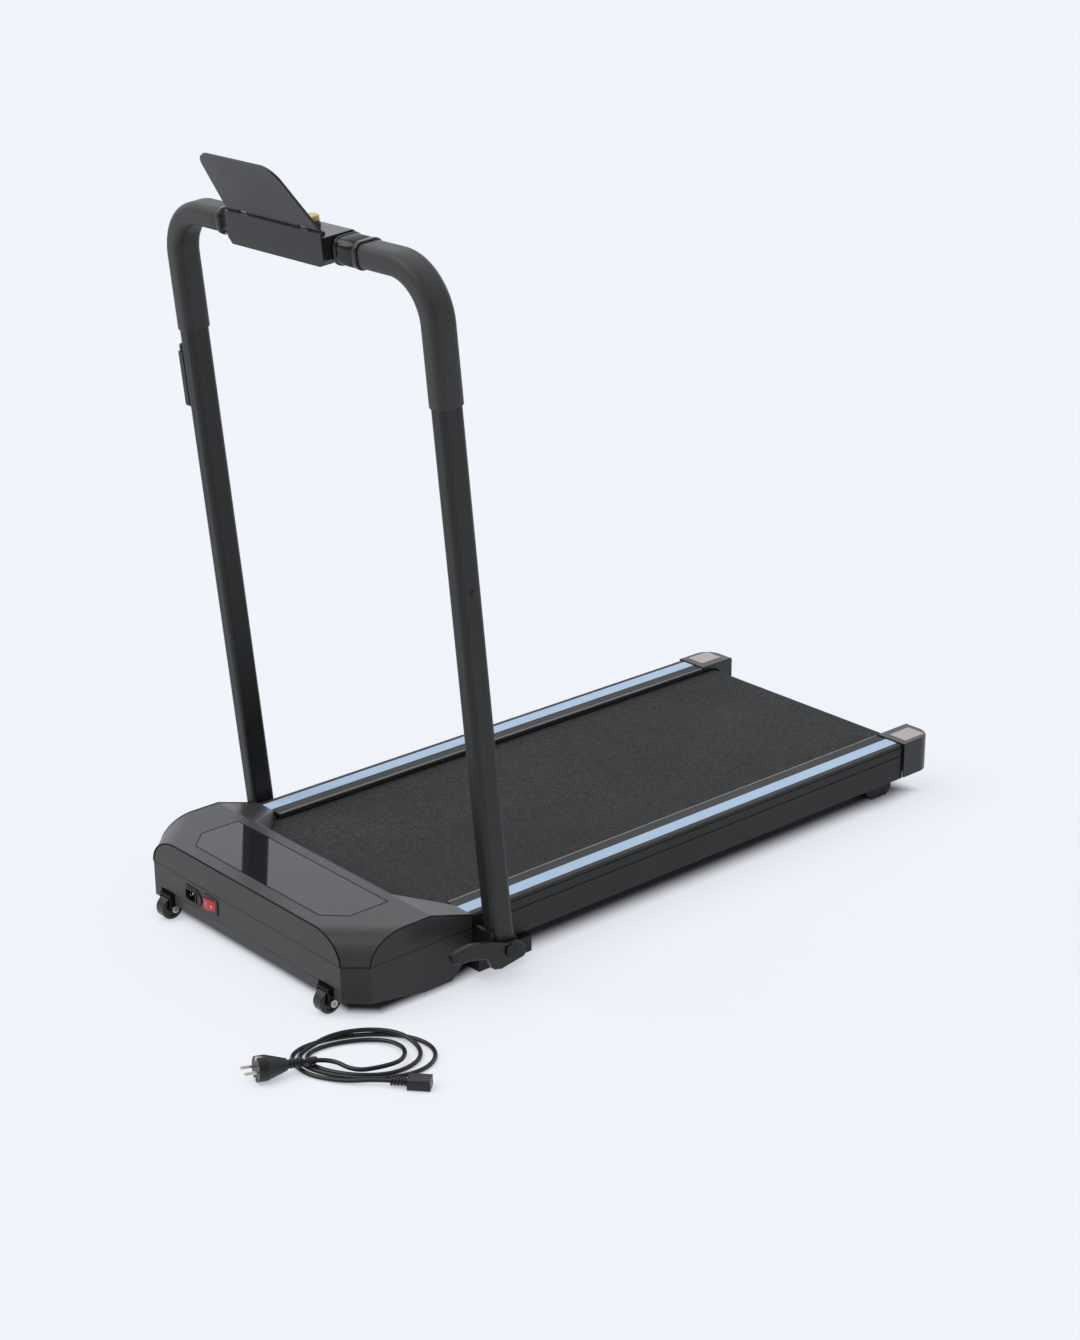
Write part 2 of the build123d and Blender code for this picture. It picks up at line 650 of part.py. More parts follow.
def switch_bezel():
    plane = front_plane(SWITCH_X, SWITCH_Z)
    inner_w, inner_h = switch_opening(0)
    wall = SWITCH_RIM / 3
    bezel = extrude(plane * RectangleRounded(SWITCH_W, SWITCH_H, SWITCH_RIM), SWITCH_FLANGE, dir=(0, -1, 0))
    bezel += block(
        (SWITCH_X - inner_w, SWITCH_X + inner_w), (0, SWITCH_BODY), (SWITCH_Z - inner_h, SWITCH_Z + inner_h)
    )
    bezel -= block(
        (SWITCH_X - inner_w + wall, SWITCH_X + inner_w - wall),
        (-2 * SWITCH_FLANGE, SWITCH_BODY - SWITCH_RIM),
        (SWITCH_Z - inner_h + wall, SWITCH_Z + inner_h - wall),
    )
    pin = Pos(SWITCH_X, FRONT_Y + ROCKER_PIVOT, SWITCH_Z) * Cylinder(ROCKER_PIN_R, 2 * inner_h)
    return bezel + pin


def switch_rocker():
    half_w, half_h = switch_opening(SWITCH_RIM / 3 + ROCKER_CLEAR)
    tilt = math.radians(ROCKER_TILT)
    face = ROCKER_PIVOT + SWITCH_FLANGE + ROCKER_PROUD
    low = face - half_w * math.tan(tilt)
    waist = half_w - ROCKER_TAPER
    outline = [
        (-half_w, -low), (0, -face), (half_w, -low), (waist, 0),
        (ROCKER_HUB, ROCKER_HUB), (-ROCKER_HUB, ROCKER_HUB), (-waist, 0),
    ]
    face_plane = Plane(origin=(0, 0, -half_h), x_dir=(1, 0, 0), z_dir=(0, 0, 1))
    rocker = extrude(face_plane * make_face(Polyline(*outline, close=True)), 2 * half_h, dir=(0, 0, 1))
    rocker -= Cylinder(ROCKER_PIN_R + FIT, 4 * half_h)
    return Pos(SWITCH_X, FRONT_Y + ROCKER_PIVOT, SWITCH_Z) * Rot(0, 0, ROCKER_TILT) * rocker


# Deck

def deck_frame():
    tube_x = (TUBE_INNER, TUBE_OUTER)
    tube = block(tube_x, (TUBE_FRONT, TUBE_REAR), (TUBE_BOTTOM, TUBE_TOP))
    tube -= block(
        (TUBE_INNER + TUBE_WALL, TUBE_OUTER - TUBE_WALL),
        (TUBE_FRONT - TUBE_WALL, TUBE_REAR + TUBE_WALL),
        (TUBE_BOTTOM + TUBE_WALL, TUBE_TOP - TUBE_WALL),
    )
    tube -= block(
        (TUBE_INNER - TUBE_WALL, TUBE_OUTER + TUBE_WALL),
        (REAR_ROLLER_DEPTH - 2 * SHAFT_R, TUBE_REAR + TUBE_WALL),
        (ROLLER_Z - SHAFT_R - FIT, TUBE_TOP + TUBE_WALL),
    )
    plate = block(tube_x, (TUBE_REAR, TUBE_REAR + END_PLATE), (TUBE_BOTTOM, END_PLATE_TOP))
    hole = Rot(90, 0, 0) * Cylinder(BOLT_R + FIT, 4 * END_PLATE)
    side = tube + plate - Pos(BOLT_X, FRONT_Y + TUBE_REAR, ROLLER_Z) * hole
    frame = side + mirror(side, TO_RIGHT)
    first = TUBE_FRONT + CROSS_FIRST
    step = (TUBE_REAR - CROSS_LAST - first) / (CROSS_COUNT - 1)
    for index in range(CROSS_COUNT):
        middle = first + index * step
        span = (middle - CROSS_WIDTH / 2, middle + CROSS_WIDTH / 2)
        cross = block((-TUBE_INNER, TUBE_INNER), span, (TUBE_TOP - CROSS_HEIGHT, TUBE_TOP))
        inner = (span[0] + TUBE_WALL, span[1] - TUBE_WALL)
        cross -= block(
            (-HALF_WIDTH, HALF_WIDTH), inner, (TUBE_TOP - CROSS_HEIGHT + TUBE_WALL, TUBE_TOP - TUBE_WALL)
        )
        frame += cross
    return frame


def front_pan():
    depth = (PAN_FRONT, PAN_REAR)
    pan = block((-PAN_OUTER, PAN_OUTER), depth, (PAN_BOTTOM, PAN_FLOOR))
    side = block((TUBE_OUTER, PAN_OUTER), (PAN_FRONT, PAN_SIDE_REAR), (PAN_BOTTOM, PAN_SIDE_TOP))
    side -= rod(SHAFT_R + FIT, (0, HALF_WIDTH), FRONT_ROLLER_DEPTH, ROLLER_Z)
    return pan + side + mirror(side, TO_RIGHT)


def deck_board():
    rear = REAR_ROLLER_DEPTH - ROLLER_R - BOARD_END_GAP
    board = block((-BOARD_HALF, BOARD_HALF), (TUBE_FRONT, rear), (BOARD_BOTTOM, BOARD_TOP))
    return fillet(board.edges().filter_by(Axis.X).group_by(Axis.Z)[-1], BOARD_THICK / 4)


def deck_cushions():
    first = TUBE_FRONT + CUSHION_LENGTH
    last = REAR_ROLLER_DEPTH - 2 * CUSHION_LENGTH
    step = (last - first) / (CUSHION_COUNT - 1)
    pads = []
    for index in range(CUSHION_COUNT):
        middle = first + index * step
        pads.append(block(
            (TUBE_INNER, BOARD_HALF),
            (middle - CUSHION_LENGTH / 2, middle + CUSHION_LENGTH / 2),
            (TUBE_TOP, BOARD_BOTTOM),
        ))
    return Compound(children=pads + [mirror(pad, TO_RIGHT) for pad in pads])


def belt_loop(radius, half):
    """Solid of a loop round both rollers."""
    x = (-half, half)
    loop = block(x, (FRONT_ROLLER_DEPTH, REAR_ROLLER_DEPTH), (ROLLER_Z - radius, ROLLER_Z + radius))
    loop += rod(radius, x, FRONT_ROLLER_DEPTH, ROLLER_Z)
    return loop + rod(radius, x, REAR_ROLLER_DEPTH, ROLLER_Z)


def running_belt():
    return belt_loop(BELT_OUT_R, BELT_HALF) - belt_loop(BELT_IN_R, BELT_HALF + BELT_CLEAR)


def roller(depth):
    """Hollow roller with a bearing plug at each end."""
    inner = ROLLER_HALF - ROLLER_PLUG
    drum = rod(ROLLER_R, (-ROLLER_HALF, ROLLER_HALF), depth, ROLLER_Z)
    drum -= rod(ROLLER_R - ROLLER_WALL, (-inner, inner), depth, ROLLER_Z)
    return drum - rod(SHAFT_R + FIT, (-HALF_WIDTH, HALF_WIDTH), depth, ROLLER_Z)


def front_roller():
    hub = rod(HUB_R, (PULLEY_X[1], -ROLLER_HALF), FRONT_ROLLER_DEPTH, ROLLER_Z)
    pulley = rod(ROLLER_PULLEY_R, PULLEY_X, FRONT_ROLLER_DEPTH, ROLLER_Z)
    bore = rod(SHAFT_R + FIT, (-HALF_WIDTH, HALF_WIDTH), FRONT_ROLLER_DEPTH, ROLLER_Z)
    return roller(FRONT_ROLLER_DEPTH) + (hub + pulley - bore)


def roller_shafts():
    rear_half = BOLT_X + 2 * BOLT_R
    front = rod(SHAFT_R, (-PAN_OUTER, PAN_OUTER), FRONT_ROLLER_DEPTH, ROLLER_Z)
    rear = rod(SHAFT_R, (-rear_half, rear_half), REAR_ROLLER_DEPTH, ROLLER_Z)
    return Compound(children=[front, rear])


def adjuster_bolts():
    tip = REAR_ROLLER_DEPTH + SHAFT_R + GAP
    seat = TUBE_REAR + END_PLATE
    bolt = Cylinder(BOLT_R, seat - tip, align=UPWARDS)
    bolt += Pos(0, 0, seat - tip) * Cylinder(BOLT_HEAD_R, BOLT_HEAD, align=UPWARDS)
    socket = RegularPolygon(BOLT_SOCKET_R, 6)
    bolt -= extrude(Pos(0, 0, seat - tip + BOLT_HEAD / 3) * socket, BOLT_HEAD)
    return both(Pos(BOLT_X, FRONT_Y + tip, ROLLER_Z) * Rot(-90, 0, 0) * bolt)


# Side rails and tail

def stripe_block(bottom, top, front, rear):
    return block((STRIPE_INNER, STRIPE_INNER + STRIPE_WIDTH), (front, rear), (bottom, top))


def side_rail():
    web = BOARD_HALF - RAIL_WEB
    lip = RAIL_INNER + RAIL_WALL
    under = RAIL_TOP - RAIL_WALL
    inner_wall = HALF_WIDTH - RAIL_WALL
    foot = inner_wall - 2 * RAIL_WALL
    points = [
        (HALF_WIDTH, RAIL_BOTTOM), (HALF_WIDTH, RAIL_TOP - RAIL_EDGE), (HALF_WIDTH - RAIL_EDGE, RAIL_TOP),
        (RAIL_INNER + RAIL_EDGE / 3, RAIL_TOP), (RAIL_INNER, RAIL_TOP - RAIL_EDGE / 3),
        (RAIL_INNER, RAIL_LIP_BOTTOM), (lip, RAIL_LIP_BOTTOM), (lip, under), (web - RAIL_WALL, under),
        (web - RAIL_WALL, BOARD_TOP), (web, BOARD_TOP), (web, under), (inner_wall, under),
        (inner_wall, RAIL_BOTTOM + RAIL_WALL), (foot, RAIL_BOTTOM + RAIL_WALL), (foot, RAIL_BOTTOM),
    ]
    front = HOOD_REAR + GAP
    plane = Plane(origin=(0, FRONT_Y + front, 0), x_dir=(1, 0, 0), z_dir=(0, -1, 0))
    rail = extrude(plane * make_face(Polyline(*points, close=True)), RAIL_REAR - front, dir=(0, 1, 0))
    rail -= stripe_block(RAIL_TOP - STRIPE_INLAY, RAIL_TOP + STRIPE_THICK, front - GAP, RAIL_REAR + GAP)
    for drop in GROOVE_DROPS:
        height = RAIL_TOP - drop
        rail -= block(
            (HALF_WIDTH - GROOVE, HALF_WIDTH + GROOVE),
            (front - GAP, RAIL_REAR + GAP),
            (height - GROOVE / 2, height + GROOVE / 2),
        )
    window = block(
        (foot - RAIL_WALL, HALF_WIDTH + RAIL_WALL),
        (front - GAP, BRACKET_REAR + 2 * GAP),
        (RAIL_BOTTOM - RAIL_WALL, BRACKET_TOP + 2 * GAP),
    )
    return rail - window


def rail_stripes():
    bottom = RAIL_TOP - STRIPE_INLAY
    return both(stripe_block(bottom, bottom + STRIPE_THICK, HOOD_REAR + GAP, RAIL_REAR))


def cap_pad_space(thick):
    """Shallow place for the textured insert on a rear cap's top."""
    low = CAP_TOP - PAD_INLAY
    return block(
        (RAIL_INNER + PAD_SIDES[0], CAP_OUTER - PAD_SIDES[1]),
        (RAIL_REAR + PAD_ENDS, CAP_REAR - PAD_ENDS),
        (low, low + thick),
    )


def rear_cap():
    cap = block((RAIL_INNER, CAP_OUTER), (RAIL_REAR, CAP_REAR), (CAP_BOTTOM, CAP_TOP))
    corner = cap.edges().filter_by(Axis.Z).sort_by(Axis.X)[2:].sort_by(Axis.Y)[-1]
    cap = fillet(corner, CAP_CORNER)
    rim = cap.faces().sort_by(Axis.Z)[-1].edges().group_by(Axis.Y)[1:]
    cap = fillet([edge for group in rim for edge in group], CAP_EDGE)
    cavity = block(
        (RAIL_INNER + CAP_WALL, CAP_OUTER - CAP_WALL),
        (RAIL_REAR - CAP_WALL, CAP_REAR - CAP_WALL),
        (CAP_BOTTOM - CAP_WALL, CAP_TOP - CAP_WALL),
    )
    corner = cavity.edges().filter_by(Axis.Z).sort_by(Axis.X)[2:].sort_by(Axis.Y)[-1]
    cap -= fillet(corner, CAP_CORNER - CAP_WALL)
    reach = BELT_OUT_R + BELT_CLEAR
    arch_x = (RAIL_INNER - CAP_WALL, RAIL_INNER + 2 * CAP_WALL)
    cap -= rod(reach, arch_x, REAR_ROLLER_DEPTH, ROLLER_Z)
    front_of_arch = (RAIL_REAR - CAP_WALL, REAR_ROLLER_DEPTH)
    cap -= block(arch_x, front_of_arch, (CAP_BOTTOM - CAP_WALL, ROLLER_Z + reach))
    cap -= block(arch_x, (REAR_ROLLER_DEPTH, REAR_ROLLER_DEPTH + reach), (CAP_BOTTOM - CAP_WALL, ROLLER_Z))
    return cap - cap_pad_space(PAD_THICK)


def cap_pads():
    return both(cap_pad_space(PAD_THICK))


def rear_foot():
    outline = [
        (FOOT_FRONT + FOOT_TOE, 0), (FOOT_REAR - FOOT_TOE, 0), (FOOT_REAR, FOOT_TOE),
        (FOOT_REAR, TUBE_BOTTOM), (FOOT_FRONT, TUBE_BOTTOM), (FOOT_FRONT, FOOT_TOE),
    ]
    foot = side_prism(outline, (FOOT_INNER, FOOT_OUTER))
    foot = fillet(foot.edges().filter_by(Axis.Z), FOOT_EDGE)
    depth = (FOOT_FRONT + FOOT_EDGE, FOOT_REAR - FOOT_EDGE)
    flange = block((FOOT_OUTER - FOOT_EDGE, TUBE_OUTER), depth, (TUBE_BOTTOM - FOOT_FLANGE, TUBE_BOTTOM))
    return foot + flange


# Casters

def caster_wheel():
    x = (CASTER_X - CASTER_WIDTH / 2, CASTER_X + CASTER_WIDTH / 2)
    wheel = rod(CASTER_R, x, CASTER_DEPTH, CASTER_R)
    wheel = fillet(wheel.edges(), CASTER_GROOVE)
    for face_x in x:
        recess = (face_x - CASTER_GROOVE, face_x + CASTER_GROOVE)
        wheel -= rod(CASTER_RIM_R, recess, CASTER_DEPTH, CASTER_R)
        wheel += rod(CASTER_HUB_R, sorted((face_x, CASTER_X)), CASTER_DEPTH, CASTER_R)
    return wheel - rod(AXLE_R + FIT, (0, HALF_WIDTH), CASTER_DEPTH, CASTER_R)


def caster_fork():
    cheek = CASTER_WIDTH / 2 + FORK_SIDE_GAP
    half = cheek + FORK_PLATE
    top = PAN_FLOOR + FORK_PLATE
    depth = (CASTER_DEPTH - FORK_ARM / 2, CASTER_DEPTH + FORK_ARM / 2)
    fork = block((CASTER_X - half, CASTER_X + half), (depth[0], FORK_BASE), (PAN_FLOOR, top))
    for side in (-1, 1):
        plate_x = sorted((CASTER_X + side * cheek, CASTER_X + side * half))
        fork += block(plate_x, depth, (CASTER_R, top))
        fork += rod(FORK_ARM / 2, plate_x, CASTER_DEPTH, CASTER_R)
    return fork - rod(AXLE_R + FIT, (0, HALF_WIDTH), CASTER_DEPTH, CASTER_R)


def caster_axle():
    half = CASTER_WIDTH / 2 + FORK_SIDE_GAP + FORK_PLATE
    axle = rod(AXLE_R, (CASTER_X - half, CASTER_X + half), CASTER_DEPTH, CASTER_R)
    for side in (-1, 1):
        head_x = sorted((CASTER_X + side * half, CASTER_X + side * (half + AXLE_HEAD)))
        axle += rod(AXLE_HEAD_R, head_x, CASTER_DEPTH, CASTER_R)
    return axle


# Drive

def motor():
    body = rod(MOTOR_R, MOTOR_X, MOTOR_DEPTH, MOTOR_Z)
    foot_depth = (MOTOR_DEPTH - MOTOR_FOOT_W / 2, MOTOR_DEPTH + MOTOR_FOOT_W / 2)
    body += block(MOTOR_X, foot_depth, (PAN_FLOOR, PAN_FLOOR + MOTOR_FOOT_H))
    return body - rod(MOTOR_SHAFT_R + FIT, (MOTOR_X[0], MOTOR_X[0] + MOTOR_BORE), MOTOR_DEPTH, MOTOR_Z)


def motor_pulley():
    shaft_end = MOTOR_X[0] + MOTOR_BORE - GAP
    return (
        rod(MOTOR_SHAFT_R, (PULLEY_X[0], shaft_end), MOTOR_DEPTH, MOTOR_Z)
        + rod(MOTOR_PULLEY_R, PULLEY_X, MOTOR_DEPTH, MOTOR_Z)
    )


def drive_loop(margin, x):
    """Loop round the motor and roller pulleys, a margin off their rims."""
    plane = Plane(origin=(x[0], FRONT_Y, 0), x_dir=(0, 1, 0), z_dir=(1, 0, 0))
    small = Pos(MOTOR_DEPTH, MOTOR_Z) * Circle(MOTOR_PULLEY_R + margin)
    large = Pos(FRONT_ROLLER_DEPTH, ROLLER_Z) * Circle(ROLLER_PULLEY_R + margin)
    hull = make_hull(ShapeList(small.edges() + large.edges()))
    return extrude(plane * hull, x[1] - x[0], dir=(1, 0, 0))


def drive_belt():
    x = (PULLEY_X[0] + DRIVE_BELT_MARGIN, PULLEY_X[1] - DRIVE_BELT_MARGIN)
    return drive_loop(GAP + DRIVE_BELT_THICK, x) - drive_loop(GAP, (x[0] - GAP, x[1] + GAP))


def control_board():
    low = PAN_FLOOR + STANDOFF
    high = low + PCB_THICK
    board = block(BOARD_X, BOARD_DEPTH, (low, high))
    inset = 2 * STANDOFF_R
    for x in (BOARD_X[0] + inset, BOARD_X[1] - inset):
        for depth in (BOARD_DEPTH[0] + inset, BOARD_DEPTH[1] - inset):
            post = Cylinder(STANDOFF_R, STANDOFF, align=UPWARDS)
            board += Pos(x, FRONT_Y + depth, PAN_FLOOR) * post
    sink_x = BOARD_X[0] + 4 * inset
    fin_depth = (BOARD_DEPTH[0] + 2 * inset, BOARD_DEPTH[1] - 2 * inset)
    for index in range(SINK_FINS):
        left = sink_x + 2 * index * inset
        board += block((left, left + SINK_FIN), fin_depth, (high, high + SINK_HEIGHT))
    for index in range(2):
        can = Cylinder(CAPACITOR_R, CAPACITOR_HEIGHT, align=UPWARDS)
        depth = sum(BOARD_DEPTH) / 2 + (index - 0.5) * CAPACITOR_PITCH
        board += Pos(BOARD_X[1] - 3 * CAPACITOR_R, FRONT_Y + depth, high) * can
    return board


# Fold bracket, pivot and levers

def hinge_bracket():
    height = (BRACKET_BOTTOM, BRACKET_TOP)
    width = (PAN_OUTER, BRACKET_OUTER)
    bracket = block(width, (BRACKET_FRONT, BRACKET_REAR), height)
    leg_depth = (BRACKET_FRONT, PIVOT_DEPTH + LEG_TAIL)
    bracket += block(width, leg_depth, (LEG_BOTTOM, BRACKET_BOTTOM))
    front = -RAIL_TUBE_D / 2 - STOP_GAP
    stop = box((BRACKET_OUTER - STOP_THICK, UPRIGHT_OUTER - LEVER_GAP), (front - STOP_THICK, front), STOP_W)
    bracket += HANDRAIL * stop
    return bracket - rod(PIN_R + FIT, (PAN_OUTER, UPRIGHT_X), PIVOT_DEPTH, PIVOT_Z)


def pivot_pin():
    pin = rod(PIN_R, (PAN_OUTER, LEVER_OUTER + GAP), PIVOT_DEPTH, PIVOT_Z)
    return pin + rod(PIN_HEAD_R, (LEVER_OUTER + GAP, LEVER_OUTER + GAP + PIN_HEAD), PIVOT_DEPTH, PIVOT_Z)


def lever():
    outline = [(PIVOT_DEPTH + back, PIVOT_Z + up) for back, up in LEVER_OUTLINE]
    blade = side_prism(outline, (LEVER_INNER, LEVER_OUTER))
    blade = fillet(blade.edges().filter_by(Axis.X), LEVER_ROUND)
    blade = chamfer(blade.faces().sort_by(Axis.X)[-1].edges(), LEVER_EDGE)
    return blade - rod(PIN_R + FIT, (LEVER_INNER - GAP, LEVER_OUTER + GAP), PIVOT_DEPTH, PIVOT_Z)


# Handrail

def tube_section(grow):
    """Rounded section of the handrail tube, grown on every side."""
    return RectangleRounded(RAIL_TUBE_W + 2 * grow, RAIL_TUBE_D + 2 * grow, RAIL_TUBE_CORNER + grow)


def ring(outer, inner):
    return tube_section(outer) - tube_section(inner)


def vertical_run(section, low, high):
    return extrude(Pos(UPRIGHT_X, 0, low) * section, high - low, dir=(0, 0, 1))


def cross_run(section, start, end):
    plane = Plane(origin=(start, 0, CROSSBAR_W), x_dir=(0, 0, 1), z_dir=(1, 0, 0))
    return extrude(plane * section, end - start, dir=(1, 0, 0))


def bent_run(section, start, low):
    """From a place on the crossbar, round the bend and down the upright."""
    bend = revolve(Pos(UPRIGHT_X, 0, BEND_W) * section, Axis((BEND_X, 0, BEND_W), (0, -1, 0)), 90)
    return cross_run(section, start, BEND_X) + bend + vertical_run(section, low, BEND_W)


def upright():
    return HANDRAIL * vertical_run(ring(0, -RAIL_TUBE_WALL), FOOT_COLLAR, JOINT_W)


def top_bar():
    half = bent_run(ring(0, -RAIL_TUBE_WALL), 0, JOINT_W)
    inner = -RAIL_TUBE_WALL - GAP
    half += vertical_run(ring(inner, inner - RAIL_TUBE_WALL), JOINT_W - SPIGOT, JOINT_W + RAIL_TUBE_WALL)
    half += vertical_run(ring(-RAIL_TUBE_WALL, inner - RAIL_TUBE_WALL), JOINT_W, JOINT_W + RAIL_TUBE_WALL)
    return HANDRAIL * (half + mirror(half, TO_RIGHT))


def upright_foot():
    barrel = Pos(UPRIGHT_X, 0, 0) * Rot(0, 90, 0) * Cylinder(RAIL_TUBE_D / 2, RAIL_TUBE_W)
    barrel &= vertical_run(Rectangle(RAIL_TUBE_W, RAIL_TUBE_D), -RAIL_TUBE_D, FOOT_COLLAR)
    foot = barrel + vertical_run(Rectangle(RAIL_TUBE_W, RAIL_TUBE_D), 0, FOOT_COLLAR)
    foot += vertical_run(tube_section(-RAIL_TUBE_WALL - GAP), 0, FOOT_TONGUE)
    foot -= Pos(UPRIGHT_X, 0, 0) * Rot(0, 90, 0) * Cylinder(PIN_R + FIT, 2 * RAIL_TUBE_W)
    return HANDRAIL * foot


def grip():
    return HANDRAIL * bent_run(ring(GAP + GRIP_WALL, GAP), COLLAR_END_X, GRIP_END_W)


# Console

def slope_place(up, x=0.0):
    """Frame on the middle of the sloping face, X along the console and Z out of the face."""
    middle = ((CONSOLE_BREAK + CONSOLE_REAR) / 2, (CONSOLE_TOP + CONSOLE_LIP) / 2)
    return Pos(0, *middle) * Rot(-SLOPE_TURN, 0, 0) * Pos(x, -up, 0)


def console_form(inset):
    """Whole console body, drawn in by a wall."""
    outline = [
        (CONSOLE_FRONT, CONSOLE_BOTTOM), (CONSOLE_FRONT, CONSOLE_TOP), (CONSOLE_BREAK, CONSOLE_TOP),
        (CONSOLE_REAR, CONSOLE_LIP), (CONSOLE_REAR, CONSOLE_BOTTOM),
    ]
    face = make_face(Polyline(*outline, close=True))
    if inset > 0:
        face = offset(face, -inset)
    half = CONSOLE_HALF - inset
    plane = Plane(origin=(-half, 0, 0), x_dir=(0, 1, 0), z_dir=(1, 0, 0))
    body = extrude(plane * face, 2 * half, dir=(1, 0, 0))
    return chamfer(body.edges().filter_by(Axis.Y).group_by(Axis.Z)[0], CONSOLE_CORNER)


def console_shell():
    shell = console_form(0) - console_form(CONSOLE_WALL)
    plane = Plane(origin=(-2 * CONSOLE_HALF, 0, 0), x_dir=(0, 0, 1), z_dir=(1, 0, 0))
    return shell - extrude(plane * tube_section(GAP), 4 * CONSOLE_HALF, dir=(1, 0, 0))


def console_half(side):
    """Half space in front of the crossbar's centre, or behind it."""
    reach = 4 * CONSOLE_HALF
    limits = (-reach, 0) if side < 0 else (0, reach)
    return box((-reach, reach), limits, (-reach, reach))


def flap_axis():
    return Pos(0, FLAP_AXIS_DEPTH, CONSOLE_TOP + FLAP_AXIS_UP)


def x_cylinder(radius, x):
    return Pos((x[0] + x[1]) / 2, 0, 0) * Rot(0, 90, 0) * Cylinder(radius, x[1] - x[0])


def console_back():
    back = console_shell() & console_half(-1)
    brow_depth = (CONSOLE_FRONT, CONSOLE_FRONT + CONSOLE_BROW_THICK)
    brow_height = (CONSOLE_TOP - CONSOLE_WALL, CONSOLE_TOP + CONSOLE_BROW)
    back += box((-CONSOLE_HALF, CONSOLE_HALF), brow_depth, brow_height)
    for side in (-1, 1):
        x = sorted((side * EAR_X[0], side * EAR_X[1]))
        ear = x_cylinder(FLAP_BARREL_R, x)
        ear += box(x, (-FLAP_BARREL_R, FLAP_BARREL_R), (-FLAP_AXIS_UP, 0))
        ear -= x_cylinder(FLAP_PIN_R + FIT, (x[0] - GAP, x[1] + GAP))
        back += flap_axis() * ear
    return CONSOLE * back


def button_places():
    return [slope_place(-BUTTON_DOWN, (index - 1) * BUTTON_PITCH) for index in range(3)]


def console_face():
    face = console_shell() & console_half(1)
    face -= slope_place(DISPLAY_UP) * Pos(0, 0, DISPLAY_THICK / 2 - DISPLAY_INLAY) * Box(
        DISPLAY_W + 2 * GAP, DISPLAY_H + 2 * GAP, DISPLAY_THICK
    )
    for place in button_places():
        face -= place * Cylinder(BUTTON_R + GAP, 4 * CONSOLE_WALL)
    return CONSOLE * face


def console_display():
    return CONSOLE * slope_place(DISPLAY_UP) * Pos(0, 0, DISPLAY_THICK / 2 - DISPLAY_INLAY) * Box(
        DISPLAY_W, DISPLAY_H, DISPLAY_THICK
    )


def console_button(place):
    base = -CONSOLE_WALL - GAP
    cap = Pos(0, 0, base) * Cylinder(BUTTON_R, BUTTON_PROUD - base, align=UPWARDS)
    cap = fillet(cap.edges().sort_by(Axis.Z)[-1], BUTTON_PROUD / 2)
    cap += Pos(0, 0, base - BUTTON_FLANGE) * Cylinder(BUTTON_FLANGE_R, BUTTON_FLANGE, align=UPWARDS)
    return CONSOLE * place * cap


def console_collar():
    section = ring(COLLAR_WALL + GAP, GAP)
    return HANDRAIL * cross_run(section, CONSOLE_HALF, COLLAR_END_X)


def safety_key():
    key = Cylinder(KEY_SKIRT_R, KEY_SKIRT, align=UPWARDS)
    knob = Cylinder(KEY_KNOB_R, KEY_KNOB, align=UPWARDS)
    knob = fillet(knob.edges().sort_by(Axis.Z)[-1], KEY_KNOB / 4)
    key += Pos(0, 0, KEY_SKIRT) * knob
    return CONSOLE * Pos(KEY_X, KEY_DEPTH, CONSOLE_TOP + GAP / 2) * key


def tablet_flap():
    corners = [(-FLAP_BASE, 0), (FLAP_BASE, 0), (FLAP_TOP, FLAP_LENGTH), (-FLAP_TOP, FLAP_LENGTH)]
    plate_face = make_face(Polyline(*corners, close=True))
    plate_face = fillet(plate_face.vertices().group_by(Axis.Y)[-1], FLAP_CORNER)
    plate = Rot(90, 0, 0) * extrude(plate_face, FLAP_THICK / 2, both=True)
    barrel = x_cylinder(FLAP_BARREL_R, (-FLAP_BASE, FLAP_BASE))
    flap = plate + barrel
    for side in (-1, 1):
        x = sorted((side * (EAR_X[0] - GAP), side * (EAR_X[1] + GAP)))
        reach = FLAP_BARREL_R + 2 * GAP
        flap -= box(x, (-reach, reach), (-reach, 2 * reach))
    pin_half = EAR_X[1] + FLAP_PIN_END
    flap += x_cylinder(FLAP_PIN_R, (-pin_half, pin_half))
    return CONSOLE * flap_axis() * Rot(FLAP_LEAN - LEAN, 0, 0) * flap


# Remote control

def remote_space(gap):
    """Pocket for the remote beside the right upright, drawn in by a gap."""
    inner = -UPRIGHT_OUTER - HOLDER_BACK
    half = HOLDER_HALF - HOLDER_WALL
    low = HOLDER_W[0] + HOLDER_WALL
    return box(
        (inner - REMOTE_THICK - 2 * GAP + gap, inner - gap),
        (-half + gap, half - gap),
        (low + gap, low + REMOTE_LENGTH),
    )


def remote_holder():
    outer = -UPRIGHT_OUTER - HOLDER_BACK - REMOTE_THICK - 2 * GAP - HOLDER_WALL
    holder = box((outer, -UPRIGHT_OUTER), (-HOLDER_HALF, HOLDER_HALF), HOLDER_W)
    holder = fillet(holder.edges().filter_by(Axis.X).group_by(Axis.Z)[0], HOLDER_LIP)
    holder -= remote_space(0)
    half = HOLDER_HALF - HOLDER_LIP
    window_w = (HOLDER_W[0] + 2 * HOLDER_LIP, HOLDER_W[1] + GAP)
    window = box((outer - GAP, outer + 2 * HOLDER_WALL), (-half, half), window_w)
    return HANDRAIL * (holder - window)


def remote_control():
    remote = remote_space(GAP)
    return HANDRAIL * fillet(remote.edges().filter_by(Axis.X).group_by(Axis.Z)[-1], HOLDER_LIP)


# Mains cord

